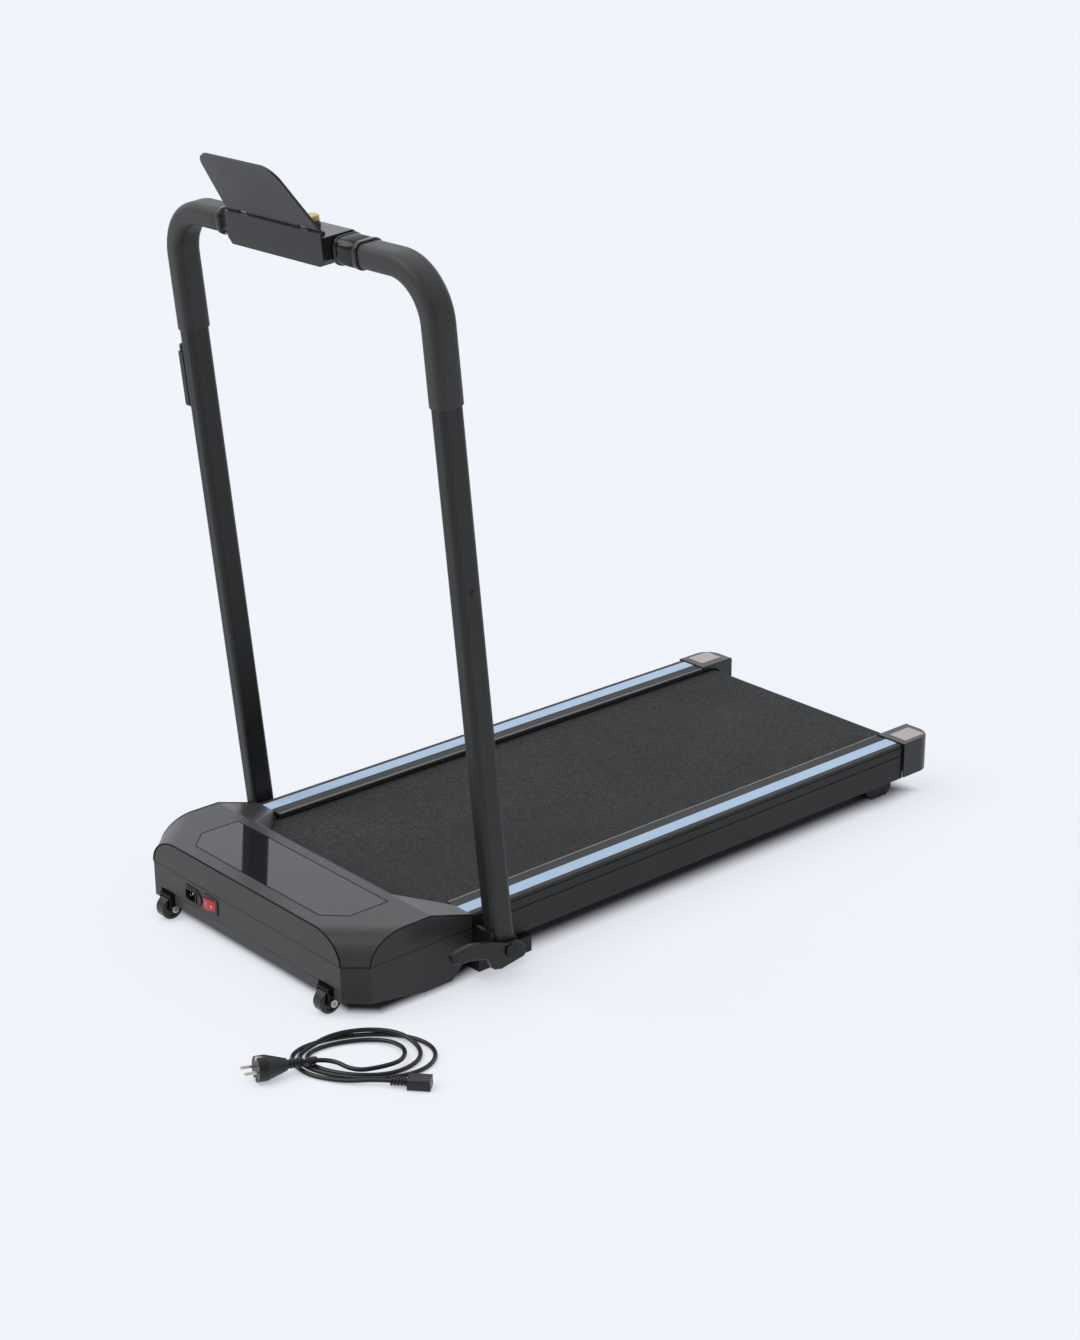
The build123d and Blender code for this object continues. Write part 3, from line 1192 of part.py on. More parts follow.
def coil_point(angle):
    """Centre line of the flat spiral, after an angle in degrees from its inner end."""
    turns_left = (COIL_QUARTERS * 90 - angle) / 360
    turn = math.radians(COIL_START + angle)
    ease = min(angle / COIL_DESCENT, 1.0)
    semi_x = COIL_SEMI[0] - COIL_PITCH[0] * turns_left
    semi_y = COIL_SEMI[1] - COIL_PITCH[1] * turns_left
    x = COIL_CENTRE[0] - COIL_DRIFT * turns_left + semi_x * math.cos(turn)
    pinch = 1 - COIL_PINCH * (1 - math.cos(turn)) / 2
    y = COIL_CENTRE[1] + pinch * semi_y * math.sin(turn)
    z = CORD_REST + COIL_LIFT * (1 - ease * ease * (3 - 2 * ease))
    return Vector(x, y, z)


def coil_heading(angle):
    step = 0.01
    low = max(angle - step, 0)
    high = min(angle + step, COIL_QUARTERS * 90)
    return (coil_point(high) - coil_point(low)).normalized()


def coil_path():
    """Two tangent arcs for each quarter turn."""
    arcs = []
    for quarter in range(COIL_QUARTERS):
        start = coil_point(90 * quarter)
        end = coil_point(90 * (quarter + 1))
        out = coil_heading(90 * quarter)
        into = coil_heading(90 * (quarter + 1))
        chord = end - start
        both_ways = out + into
        square = 2 * (1 - out.dot(into))
        along = chord.dot(both_ways)
        reach = (math.sqrt(along * along + square * chord.dot(chord)) - along) / square
        middle = (start + out * reach + end - into * reach) * 0.5
        arcs.append(TangentArc(start, middle, tangent=out))
        arcs.append(TangentArc(middle, end, tangent=(end - into * reach - middle)))
    return Wire(arcs)


def swept(path, name):
    """Round cord along a path, with its volume against section times length."""
    section = Plane(origin=path @ 0, z_dir=path % 0) * Circle(CORD_R)
    cord = sweep(section, path=path)
    expected = math.pi * CORD_R ** 2 * path.length
    print(name, "length", round(path.length, 1), "volume ratio", round(cord.volume / expected, 4))
    return cord


def lead_path(points, name):
    """Straight runs joined by arcs as large as the runs allow."""
    radii = []
    for before, at, after in zip(points, points[1:], points[2:]):
        turn = math.radians((at - before).get_angle(after - at))
        shorter = min((at - before).length, (after - at).length)
        radii.append(LEAD_ARC * shorter / math.tan(turn / 2))
    print(name, "radii", [round(radius) for radius in radii])
    return FilletPolyline(*points, radius=radii)


def cord_hank():
    path = coil_path()
    samples = [path.position_at(index / 900) for index in range(901)]
    skip = int(900 * 4 * CORD_R / path.length) + 1
    gaps = [
        (samples[i] - samples[j]).length for i in range(901) for j in range(i + 2 * skip, 901)
    ]
    print("hank, least gap to itself", round(min(gaps) - 2 * CORD_R, 2))
    return CORD * swept(path, "hank")


def plug_frame():
    return Pos(*PLUG_FACE, PLUG_AXIS_Z) * Rot(0, 0, PLUG_TURN) * Rot(0, PLUG_TILT, 0)


def plug_lead():
    end = coil_point(0)
    start, first = [
        (plug_frame() * Pos(PLUG_LENGTH + along, 0, 0)).position for along in (0, PLUG_LEAD_FIRST)
    ]
    points = [start, first, end - coil_heading(0) * PLUG_LEAD_LAST, end]
    return CORD * swept(lead_path(points, "plug lead"), "plug lead")


def connector_frame():
    return Pos(*CONNECTOR_AT, CONNECTOR_Z) * Rot(0, 0, CONNECTOR_TURN)


def connector_lead():
    last = COIL_QUARTERS * 90
    start = coil_point(last)
    turn = math.radians(CONNECTOR_TURN)
    end = Vector(*CONNECTOR_AT, CONNECTOR_Z)
    points = [start, start + coil_heading(last) * CONNECTOR_LEAD_FIRST]
    points += [Vector(*point) for point in CONNECTOR_LEAD_POINTS]
    points += [end - Vector(math.cos(turn), math.sin(turn), 0) * CONNECTOR_LEAD_LAST, end]
    return CORD * swept(lead_path(points, "connector lead"), "connector lead")


def relief(start, end, root, tip):
    """Ribbed strain relief along X."""
    body = Pos(start, 0, 0) * Rot(0, 90, 0) * Cone(root, tip, end - start, align=UPWARDS)
    rib = (end - start) / (2 * RELIEF_RIBS)
    for index in range(RELIEF_RIBS):
        left = start + 2 * index * rib
        body += x_cylinder(root + rib / 2, (left, left + rib))
    return body


def mains_plug():
    profile = [(0, 0), (PLUG_R, 0), (PLUG_R, PLUG_DISC), (PLUG_NECK_R, PLUG_NECK), (0, PLUG_NECK)]
    body = revolve(make_face(Polyline(*profile, close=True)), Axis.Y)
    body = Rot(0, 0, -90) * body
    body += relief(PLUG_NECK, PLUG_LENGTH, RELIEF_R, RELIEF_TIP_R)
    for pin in plug_pin_shapes():
        body -= pin
    return CORD * plug_frame() * body


def plug_pin_shapes():
    seat = PLUG_DISC / 2
    pin = x_cylinder(PLUG_PIN_R, (-PLUG_PIN_LENGTH, seat))
    return [Pos(0, side * PLUG_PIN_PITCH / 2, 0) * pin for side in (-1, 1)]


def plug_pins():
    place = CORD * plug_frame()
    return Compound(children=[place * pin for pin in plug_pin_shapes()])


def cord_connector():
    tip = CONNECTOR_RELIEF + CONNECTOR_BODY
    half_w = CONNECTOR_W / 2
    half_h = CONNECTOR_H / 2
    body = box((CONNECTOR_RELIEF, tip), (-half_w, half_w), (-half_h, half_h))
    body = fillet(body.edges().filter_by(Axis.X), RELIEF_R / 2)
    for shift, rise in ((-PIN_PITCH, -PIN_RISE / 2), (0, PIN_RISE / 2), (PIN_PITCH, -PIN_RISE / 2)):
        slot_w = PIN_WIDTH / 2 + GAP
        slot_h = PIN_HEIGHT / 2 + GAP
        slot_x = (tip - CONNECTOR_SLOTS, tip + GAP)
        body -= box(slot_x, (shift - slot_w, shift + slot_w), (rise - slot_h, rise + slot_h))
    body += relief(0, CONNECTOR_RELIEF, RELIEF_R, RELIEF_TIP_R)
    return CORD * connector_frame() * body


def main():
    os.makedirs("parts", exist_ok=True)
    save("hood_base", hood_base())
    save("hood_cover", hood_cover())
    save("display_window", display_window())
    save("power_inlet", power_inlet())
    save("inlet_pins", Compound(children=pin_places()))
    save("switch_bezel", switch_bezel())
    save("switch_rocker", switch_rocker())
    save("deck_frame", deck_frame())
    save("front_pan", front_pan())
    save("deck_board", deck_board())
    save("deck_cushions", deck_cushions())
    save("running_belt", running_belt())
    save("front_roller", front_roller())
    save("rear_roller", roller(REAR_ROLLER_DEPTH))
    save("roller_shafts", roller_shafts())
    save("adjuster_bolts", adjuster_bolts())
    save_pair("side_rail", side_rail())
    save("rail_stripes", rail_stripes())
    save_pair("rear_cap", rear_cap())
    save("cap_pads", cap_pads())
    save_pair("rear_foot", rear_foot())
    save_pair("caster_wheel", caster_wheel())
    save("caster_forks", both(caster_fork()))
    save("caster_axles", both(caster_axle()))
    save("motor", motor())
    save("motor_pulley", motor_pulley())
    save("drive_belt", drive_belt())
    save("control_board", control_board())
    save_pair("hinge_bracket", hinge_bracket())
    save("pivot_pins", both(pivot_pin()))
    save_pair("lever", lever())
    save_pair("upright", upright())
    save("upright_feet", both(upright_foot()))
    save("top_bar", top_bar())
    save_pair("grip", grip())
    save("console_back", console_back())
    save("console_face", console_face())
    save("console_display", console_display())
    save("console_collars", both(console_collar()))
    for name, place in zip(("speed_down_button", "start_button", "speed_up_button"), button_places()):
        save(name, console_button(place))
    save("safety_key", safety_key())
    save("tablet_flap", tablet_flap())
    save("remote_holder", remote_holder())
    save("remote_control", remote_control())
    save("cord_hank", cord_hank())
    save("plug_lead", plug_lead())
    save("connector_lead", connector_lead())
    save("mains_plug", mains_plug())
    save("plug_pins", plug_pins())
    save("cord_connector", cord_connector())


main()
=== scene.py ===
import math

import bmesh
import bpy
from mathutils import Matrix, Vector
from mathutils.bvhtree import BVHTree


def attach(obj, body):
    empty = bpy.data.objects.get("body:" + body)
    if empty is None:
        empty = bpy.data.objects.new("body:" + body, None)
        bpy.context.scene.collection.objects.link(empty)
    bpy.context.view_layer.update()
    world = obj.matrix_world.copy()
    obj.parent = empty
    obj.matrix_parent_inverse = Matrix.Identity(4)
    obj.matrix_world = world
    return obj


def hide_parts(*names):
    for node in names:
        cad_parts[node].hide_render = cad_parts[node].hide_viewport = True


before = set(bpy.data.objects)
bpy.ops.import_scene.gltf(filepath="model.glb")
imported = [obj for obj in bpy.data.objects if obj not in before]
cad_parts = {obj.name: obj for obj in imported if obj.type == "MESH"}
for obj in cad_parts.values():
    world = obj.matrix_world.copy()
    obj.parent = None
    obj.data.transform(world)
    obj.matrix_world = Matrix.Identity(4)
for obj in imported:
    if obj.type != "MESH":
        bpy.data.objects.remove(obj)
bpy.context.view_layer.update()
scene = bpy.context.scene

# Shared frame, in metres: Z up, the hood faces -Y, depths run back from the front panel
FRONT_Y = -0.6165
HALF_WIDTH = 0.270
UP = Vector((0, 0, 1))
OUTWARD = Vector((1, 0, 0))

# Camera at the photograph's place
CAMERA_AT = (2.9133, -2.5707, 1.8314)
CAMERA_TURN = (48.8212, 21.3635, -0.3963)  # azimuth, elevation and roll, in degrees
LENS = 69.56
SENSOR = 36.0

# Studio
PALE = (0.880, 0.905, 0.965)
FILL = (0.465, 0.480, 0.500)
SUN = 1.55
SUN_SPREAD = 55.0  # degrees
SUN_FROM = Vector((-0.25, -0.62, 0.82))
BACKDROP_SIDE = (-0.66, 0.75, 0.0)
FLOOR_GLOW = 0.77  # share of the floor's tone that needs no light
FLOOR_SIZE = 40.0
FLOOR_Z = -0.0004

# Hood
COVER_JOINT_Z = 0.0850
BASE_LINE_Z = 0.0445
INLET_X, INLET_Z = -0.136, 0.0625
SWITCH_X, SWITCH_Z = -0.0855, 0.0645
CASTER_X = 0.204

# Handrail frame, with the fold pivot as origin
PIVOT = Vector((0.0, -0.3664, 0.060))
LEAN = math.radians(5.51)
UPRIGHT_X = 0.299
CROSSBAR_W = 1.0282
BEND_R = 0.075
TUBE_HALF_A, TUBE_HALF_B, TUBE_CORNER = 0.015, 0.020, 0.009
HANDRAIL = Matrix.Translation(PIVOT) @ Matrix.Rotation(LEAN, 4, "X")

# Detached cord, in its own frame with X along the bundle
CORD = Matrix.Translation((0.314, FRONT_Y - 0.103, 0.0)) @ Matrix.Rotation(math.radians(48.8), 4, "Z")
CORD_R = 0.0033
COIL_TURNS = 2.75
COIL_START = 60.0  # degrees
COIL_SWELL = 1.028  # control points lie a little outside the curve that they guide
COIL_X, COIL_Y, COIL_Z = 0.072, 0.012, 0.0036
COIL_X_STEP = 0.004  # for each turn that is left
COIL_HALF_X, COIL_HALF_X_STEP = 0.107, 0.0146
COIL_HALF_Y, COIL_HALF_Y_STEP = 0.076, 0.010
COIL_PINCH = 0.25
COIL_CROSSING = 0.0072
COIL_ENTRY = 0.007
PLUG = (
    Matrix.Translation((-0.0778, -0.0484, 0.0198))
    @ Matrix.Rotation(math.radians(24.0), 4, "Z")
    @ Matrix.Rotation(math.radians(4.0), 4, "Y")
)
PLUG_LENGTH = 0.070


# Camera

def make_camera():
    azimuth, elevation, roll = (math.radians(a) for a in CAMERA_TURN)
    back = Vector((
        math.sin(azimuth) * math.cos(elevation),
        -math.cos(azimuth) * math.cos(elevation),
        math.sin(elevation),
    ))
    right = (-back).cross(UP).normalized()
    up = right.cross(-back)
    tilted_right = right * math.cos(roll) + up * math.sin(roll)
    tilted_up = up * math.cos(roll) - right * math.sin(roll)
    data = bpy.data.cameras.new("camera")
    data.sensor_fit = "VERTICAL"
    data.sensor_height = SENSOR
    data.sensor_width = SENSOR
    data.lens = LENS
    camera = bpy.data.objects.new("camera", data)
    turn = Matrix((tilted_right, tilted_up, back)).transposed()
    camera.matrix_world = Matrix.Translation(CAMERA_AT) @ turn.to_4x4()
    scene.collection.objects.link(camera)
    scene.camera = camera


# Shader building blocks

def shader_tree(name):
    material = bpy.data.materials.new(name)
    material.use_nodes = True
    tree = material.node_tree
    return material, tree, tree.nodes["Principled BSDF"]


def add(tree, kind, inputs=(), **settings):
    """Node with some settings, and inputs given as values or as sockets to link."""
    node = tree.nodes.new("ShaderNode" + kind)
    for key, value in settings.items():
        setattr(node, key, value)
    for key, value in dict(inputs).items():
        if isinstance(value, bpy.types.NodeSocket):
            tree.links.new(value, node.inputs[key])
        else:
            node.inputs[key].default_value = value
    return node


def place(tree, stretch=(1, 1, 1)):
    """Position in the shared frame, drawn out along an axis."""
    where = add(tree, "TexCoord").outputs["Object"]
    return add(tree, "Mapping", {"Vector": where, "Scale": stretch}).outputs["Vector"]


def noise(tree, where, scale, detail=2.0, roughness=0.5):
    inputs = {"Vector": where, "Scale": scale, "Detail": detail, "Roughness": roughness}
    return add(tree, "TexNoise", inputs).outputs["Fac"]


def cells(tree, where, scale):
    """Distance from the middle of each cell."""
    return add(tree, "TexVoronoi", {"Vector": where, "Scale": scale}).outputs["Distance"]


def maths(tree, operation, first, second=0.0):
    return add(tree, "Math", {0: first, 1: second}, operation=operation).outputs[0]


def dot(tree, first, second):
    return add(tree, "VectorMath", {0: first, 1: second}, operation="DOT_PRODUCT").outputs["Value"]


def spread(tree, value, low, high, start=0.3, end=0.7):
    """A value's middle range drawn over new limits."""
    inputs = {"Value": value, "From Min": start, "From Max": end, "To Min": low, "To Max": high}
    return add(tree, "MapRange", inputs).outputs["Result"]


def mix(tree, share, first, second):
    """Colour between two others."""
    node = add(tree, "Mix", data_type="RGBA")
    for key, value in (("Factor_Float", share), ("A_Color", first), ("B_Color", second)):
        socket = next(s for s in node.inputs if s.identifier == key)
        if isinstance(value, bpy.types.NodeSocket):
            tree.links.new(value, socket)
        else:
            socket.default_value = value if key == "Factor_Float" else (*value, 1.0)
    return next(s for s in node.outputs if s.identifier == "Result_Color")


def rounded_edges(tree, radius):
    """Normal rounded at edges, and how far each place is on an edge."""
    smooth = add(tree, "Bevel", {"Radius": radius}, samples=4).outputs["Normal"]
    flat = add(tree, "NewGeometry").outputs["Normal"]
    return smooth, spread(tree, dot(tree, smooth, flat), 1.0, 0.0, 0.75, 0.99)


def relieve(tree, shader, height, strength, distance, **more):
    """Bump from a height."""
    inputs = {"Height": height, "Strength": strength, "Distance": distance}
    node = add(tree, "Bump", {**inputs, **more})
    tree.links.new(node.outputs["Normal"], shader.inputs["Normal"])
    return node


def scaled(colour, factor):
    return tuple(min(c * factor, 1.0) for c in colour)


# Finishes

def moulded(name, colour, rough, grain=0.0007, bump=0.25, specular=0.4, edge=0.0008, wear=0.5,
            stretch=(1, 1, 1), metallic=0.0, joints=()):
    """Moulded, coated or machined surface with grain, uneven gloss, edges lightened partly by rubbing and
    partly as a painted highlight, and joint lines.

    A joint line is given by its height, its half width and the Y where it ends.
    """
    material, tree, shader = shader_tree(name)
    where = place(tree)
    blotches = noise(tree, where, 7.0, 4.0, 0.6)
    fine = noise(tree, place(tree, stretch), 1.0 / grain, 3.0, 0.6)
    smooth, on_edge = rounded_edges(tree, edge)
    body = mix(tree, spread(tree, blotches, 0.0, 1.0), scaled(colour, 0.86), scaled(colour, 1.14))
    body = mix(tree, spread(tree, fine, 0.0, 0.35), body, scaled(colour, 0.7))
    # Lightened edges: partly rubbed wear, partly a painted highlight where rounded edges would catch the
    # light; wear sets how strongly.
    scuffs = spread(tree, noise(tree, where, 60.0), 0.0, wear)
    body = mix(tree, maths(tree, "MULTIPLY", on_edge, scuffs), body, scaled(colour, 2.6))
    for height, half, rear in joints:
        axes = add(tree, "SeparateXYZ", {"Vector": where}).outputs
        off = maths(tree, "ABSOLUTE", maths(tree, "SUBTRACT", axes["Z"], height))
        ahead = maths(tree, "LESS_THAN", axes["Y"], rear)
        line = maths(tree, "MULTIPLY", spread(tree, off, 0.9, 0.0, half, 1.6 * half), ahead)
        body = mix(tree, line, body, scaled(colour, 0.1))
    tree.links.new(body, shader.inputs["Base Color"])
    uneven = spread(tree, blotches, rough - 0.05, rough + 0.05)
    gloss = maths(tree, "ADD", uneven, spread(tree, fine, -0.03, 0.03))
    tree.links.new(gloss, shader.inputs["Roughness"])
    relieve(tree, shader, fine, bump, 0.4 * grain, Normal=smooth)
    shader.inputs["Specular IOR Level"].default_value = specular
    shader.inputs["Metallic"].default_value = metallic
    return material


def belt_cloth():
    """Embossed belt with a fine pebbled face, faint foot wear and a slanting seam."""
    seam_y, seam_slant, belt_top = 0.4801, 0.447, 0.09
    material, tree, shader = shader_tree("belt_cloth")
    where = place(tree)
    pebbles = cells(tree, where, 520.0)
    tufts = noise(tree, where, 190.0, 3.0, 0.75)
    blotches = noise(tree, where, 6.0, 5.0, 0.65)
    lane = noise(tree, place(tree, (5.0, 0.7, 1.0)), 2.0, 2.0)
    speck = spread(tree, tufts, 0.0, 1.0, 0.35, 0.68)
    body = mix(tree, speck, (0.014, 0.014, 0.0143), (0.070, 0.0695, 0.0695))
    body = mix(tree, spread(tree, blotches, 0.0, 0.4), body, (0.047, 0.047, 0.048))
    body = mix(tree, spread(tree, lane, 0.0, 0.25), body, (0.030, 0.030, 0.031))
    axes = add(tree, "SeparateXYZ", {"Vector": where}).outputs
    along = maths(tree, "MULTIPLY", axes["X"], seam_slant)
    off = maths(tree, "SUBTRACT", maths(tree, "SUBTRACT", axes["Y"], along), seam_y)
    seam = spread(tree, maths(tree, "ABSOLUTE", off), 1.0, 0.0, 0.0006, 0.0016)
    seam = maths(tree, "MULTIPLY", seam, maths(tree, "GREATER_THAN", axes["Z"], belt_top))
    seam = maths(tree, "MULTIPLY", seam, spread(tree, tufts, 0.15, 0.6))
    tree.links.new(mix(tree, seam, body, (0.10, 0.10, 0.10)), shader.inputs["Base Color"])
    tree.links.new(spread(tree, blotches, 0.78, 0.94), shader.inputs["Roughness"])
    height = maths(tree, "ADD", pebbles, maths(tree, "MULTIPLY", tufts, 0.8))
    relieve(tree, shader, height, 0.6, 0.0006)
    shader.inputs["Specular IOR Level"].default_value = 0.25
    return material


def foam():
    """Closed-cell foam sleeve with open pores and a soft bloom."""
    material, tree, shader = shader_tree("grip_foam_skin")
    where = place(tree)
    pores = cells(tree, where, 900.0)
    lumps = noise(tree, where, 120.0, 4.0, 0.65)
    worn = noise(tree, where, 9.0, 3.0)
    body = mix(tree, spread(tree, lumps, 0.0, 1.0), (0.020, 0.0193, 0.0190), (0.037, 0.0355, 0.0345))
    body = mix(tree, spread(tree, worn, 0.0, 0.5), body, (0.042, 0.0400, 0.0385))
    tree.links.new(body, shader.inputs["Base Color"])
    tree.links.new(spread(tree, lumps, 0.45, 0.62), shader.inputs["Roughness"])
    relieve(tree, shader, maths(tree, "ADD", maths(tree, "MULTIPLY", pores, 0.6), lumps), 0.35, 0.0005)
    shader.inputs["Specular IOR Level"].default_value = 0.5
    shader.inputs["Sheen Weight"].default_value = 0.15
    shader.inputs["Sheen Roughness"].default_value = 0.5
    return material


def smoked_glass(name, tint):
    """Polished dark window with faint dust and wiping marks."""
    material, tree, shader = shader_tree(name)
    wiped = noise(tree, place(tree, (1.0, 4.0, 1.0)), 14.0, 5.0, 0.65)
    dust = noise(tree, place(tree), 700.0, 2.0)
    body = mix(tree, spread(tree, dust, 0.0, 0.25, 0.6, 0.8), tint, scaled(tint, 2.2))
    tree.links.new(body, shader.inputs["Base Color"])
    tree.links.new(spread(tree, wiped, 0.03, 0.075), shader.inputs["Roughness"])
    smooth, _ = rounded_edges(tree, 0.0006)
    relieve(tree, shader, wiped, 0.02, 0.0005, Normal=smooth)
    shader.inputs["Specular IOR Level"].default_value = 0.45
    return material


def grip_tape(name, colour, cell):
    """Gritty insert with raised grains."""
    material, tree, shader = shader_tree(name)
    where = place(tree)
    grains = cells(tree, where, 1.0 / cell)
    blotches = noise(tree, where, 30.0, 4.0, 0.6)
    body = mix(tree, spread(tree, grains, 0.0, 0.45, 0.1, 0.7), colour, scaled(colour, 0.72))
    body = mix(tree, spread(tree, blotches, 0.0, 0.3), body, scaled(colour, 0.85))
    tree.links.new(body, shader.inputs["Base Color"])
    tree.links.new(spread(tree, grains, 0.55, 0.8, 0.1, 0.7), shader.inputs["Roughness"])
    relieve(tree, shader, grains, 0.4, 0.3 * cell).invert = True
    shader.inputs["Specular IOR Level"].default_value = 0.35
    return material


def two_tone_key():
    """Yellow cap above a black skirt, split along the handrail's direction."""
    skirt = 0.0075
    material, tree, shader = shader_tree("safety_key_plastic")
    where = place(tree)
    axis = HANDRAIL.to_3x3() @ UP
    base = HANDRAIL @ Vector((0.045, -0.006, CROSSBAR_W + 0.0232))
    cap = maths(tree, "GREATER_THAN", dot(tree, where, tuple(axis)), base.dot(axis) + skirt)
    scuffs = noise(tree, where, 90.0, 4.0, 0.6)
    worn = spread(tree, scuffs, 0.0, 1.0)
    yellow = mix(tree, worn, (0.72, 0.60, 0.20), (0.62, 0.50, 0.14))
    black = mix(tree, worn, (0.012, 0.012, 0.013), (0.02, 0.02, 0.021))
    tree.links.new(mix(tree, cap, black, yellow), shader.inputs["Base Color"])
    tree.links.new(spread(tree, scuffs, 0.3, 0.45), shader.inputs["Roughness"])
    smooth, _ = rounded_edges(tree, 0.0008)
    relieve(tree, shader, scuffs, 0.1, 0.0003, Normal=smooth)
    return material


def make_materials():
    everywhere = 1.0
    front_only = FRONT_Y + 0.005
    drawn = (1, 0.06, 1)
    return {
        "hood": moulded(
            "hood_plastic_skin", (0.0600, 0.0590, 0.0583), 0.35,
            bump=0.3, specular=0.28, edge=0.001, wear=0.4,
            joints=((COVER_JOINT_Z, 0.0009, everywhere), (BASE_LINE_Z, 0.0005, front_only)),
        ),
        # On the rails the strongly lightened edges are mostly a painted highlight.
        "rail": moulded(
            "rail_plastic_skin", (0.0150, 0.0150, 0.0153), 0.62,
            stretch=drawn, bump=0.2, specular=0.5, edge=0.0013, wear=1.0,
        ),
        "cap": moulded("cap_plastic_skin", (0.026, 0.026, 0.027), 0.34, bump=0.12, edge=0.0015, wear=0.7),
        "stripe": grip_tape("stripe_blue_tape", (0.560, 0.730, 0.940), 0.0012),
        "pad": grip_tape("pad_grey_tape", (0.595, 0.540, 0.510), 0.0022),
        "window": smoked_glass("hood_window_glass", (0.020, 0.020, 0.022)),
        "screen": smoked_glass("console_screen_glass", (0.008, 0.008, 0.010)),
        "console": moulded("console_plastic_skin", (0.020, 0.020, 0.021), 0.27, bump=0.12, edge=0.0012),
        "flap": moulded("flap_plastic_skin", (0.034, 0.035, 0.037), 0.42, bump=0.2),
        "tube": moulded("powder_coat", (0.018, 0.0175, 0.018), 0.40, grain=0.0011, bump=0.22, wear=0.25),
        "bracket": moulded(
            "bracket_coat", (0.009, 0.009, 0.0095), 0.42, grain=0.0011, bump=0.2, specular=0.3, wear=0.2,
        ),
        "lever": moulded(
            "lever_plastic_skin", (0.016, 0.016, 0.0165), 0.40,
            bump=0.2, specular=0.35, edge=0.0012, wear=0.9,
        ),
        "foam": foam(),
        "belt": belt_cloth(),
        "board": moulded("board_laminate", (0.030, 0.024, 0.020), 0.5, grain=0.001, bump=0.2, wear=0.3),
        "rubber": moulded("soft_rubber_skin", (0.016, 0.016, 0.016), 0.7, specular=0.25),
        "wheel": moulded("wheel_plastic_skin", (0.014, 0.014, 0.0145), 0.28, bump=0.1, specular=0.5),
        "steel": moulded(
            "zinc_steel", (0.55, 0.54, 0.52), 0.32, grain=0.0005, bump=0.1, wear=0.2, metallic=1.0,
        ),
        "pins": moulded(
            "nickel_pins", (0.70, 0.66, 0.58), 0.2, grain=0.0005, bump=0.06, wear=0.1, metallic=1.0,
        ),
        "case": moulded("motor_case_steel", (0.20, 0.20, 0.21), 0.4, metallic=0.8, stretch=(1, 0.1, 1)),
        "circuit": moulded("circuit_lacquer", (0.02, 0.09, 0.045), 0.35, bump=0.1),
        "inlet": moulded("inlet_plastic_skin", (0.008, 0.008, 0.0085), 0.3, bump=0.1, specular=0.45),
        "red": moulded("rocker_red_plastic", (0.66, 0.045, 0.055), 0.25, bump=0.06, specular=0.5, wear=0.05),
        "bezel": moulded("bezel_plastic_skin", (0.040, 0.039, 0.039), 0.4, bump=0.12, edge=0.001, wear=0.8),
        # Pale colour for the strip on the rails' inner edges: painted highlight.
        "edge_highlight": moulded(
            "rail_bead_plastic", (0.235, 0.218, 0.200), 0.32,
            stretch=drawn, bump=0.15, specular=0.5, wear=0.3,
        ),
        "collar": moulded(
            "collar_gloss_plastic", (0.012, 0.012, 0.0125), 0.16, bump=0.06, specular=0.5, edge=0.0012,
        ),
        # Black for pieces that stand for shade: painted shadow in gaps, a crease, a notch, the window's
        # groove and the axle ends.
        "painted_shade": moulded("painted_shade_black", (0.004, 0.004, 0.0042), 0.7, bump=0.2, specular=0.15, wear=0.1),
        "mark": moulded("switch_mark_paint", (0.80, 0.74, 0.72), 0.5, bump=0.1, wear=0.1),
        "button": moulded("button_rubber", (0.12, 0.12, 0.125), 0.5, bump=0.15),
        "key": two_tone_key(),
        "remote": moulded("remote_plastic_skin", (0.016, 0.016, 0.017), 0.35, bump=0.12),
        "cord": moulded(
            "cord_jacket", (0.011, 0.011, 0.0115), 0.33,
            grain=0.0009, bump=0.1, specular=0.45, edge=0.0004, wear=0.1,
        ),
        "plug": moulded("plug_rubber", (0.011, 0.011, 0.0115), 0.34, bump=0.12, specular=0.45),
    }


FINISHES = {
    "hood": ("hood_base", "hood_cover"),
    "rail": ("side_rail_left", "side_rail_right", "rear_foot_left", "rear_foot_right"),
    "cap": ("rear_cap_left", "rear_cap_right"),
    "stripe": ("rail_stripes",),
    "pad": ("cap_pads",),
    "window": ("display_window",),
    "screen": ("console_display",),
    "console": ("console_back", "console_face", "console_collars"),
    "flap": ("tablet_flap",),
    "tube": ("upright_left", "upright_right", "top_bar"),
    "bracket": (
        "hinge_bracket_left", "hinge_bracket_right", "front_pan", "deck_frame", "caster_forks",
        "upright_feet", "pivot_pins",
    ),
    "lever": ("lever_left", "lever_right"),
    "foam": ("grip_left", "grip_right"),
    "belt": ("running_belt",),
    "board": ("deck_board",),
    "rubber": ("deck_cushions", "drive_belt"),
    "wheel": ("caster_wheel_left", "caster_wheel_right"),
    "steel": (
        "roller_shafts", "adjuster_bolts", "caster_axles", "motor_pulley", "front_roller", "rear_roller",
    ),
    "pins": ("inlet_pins", "plug_pins"),
    "case": ("motor",),
    "circuit": ("control_board",),
    "inlet": ("power_inlet",),
    "bezel": ("switch_bezel",),
    "red": ("switch_rocker",),
    "button": ("start_button", "speed_up_button", "speed_down_button"),
    "key": ("safety_key",),
    "remote": ("remote_holder", "remote_control"),
    "cord": ("cord_hank", "plug_lead", "connector_lead"),
    "plug": ("mains_plug", "cord_connector"),
}


def dress_nodes(materials):
    for finish, names in FINISHES.items():
        for name in names:
            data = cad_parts[name].data
            data.materials.clear()
            data.materials.append(materials[finish])


# Pieces

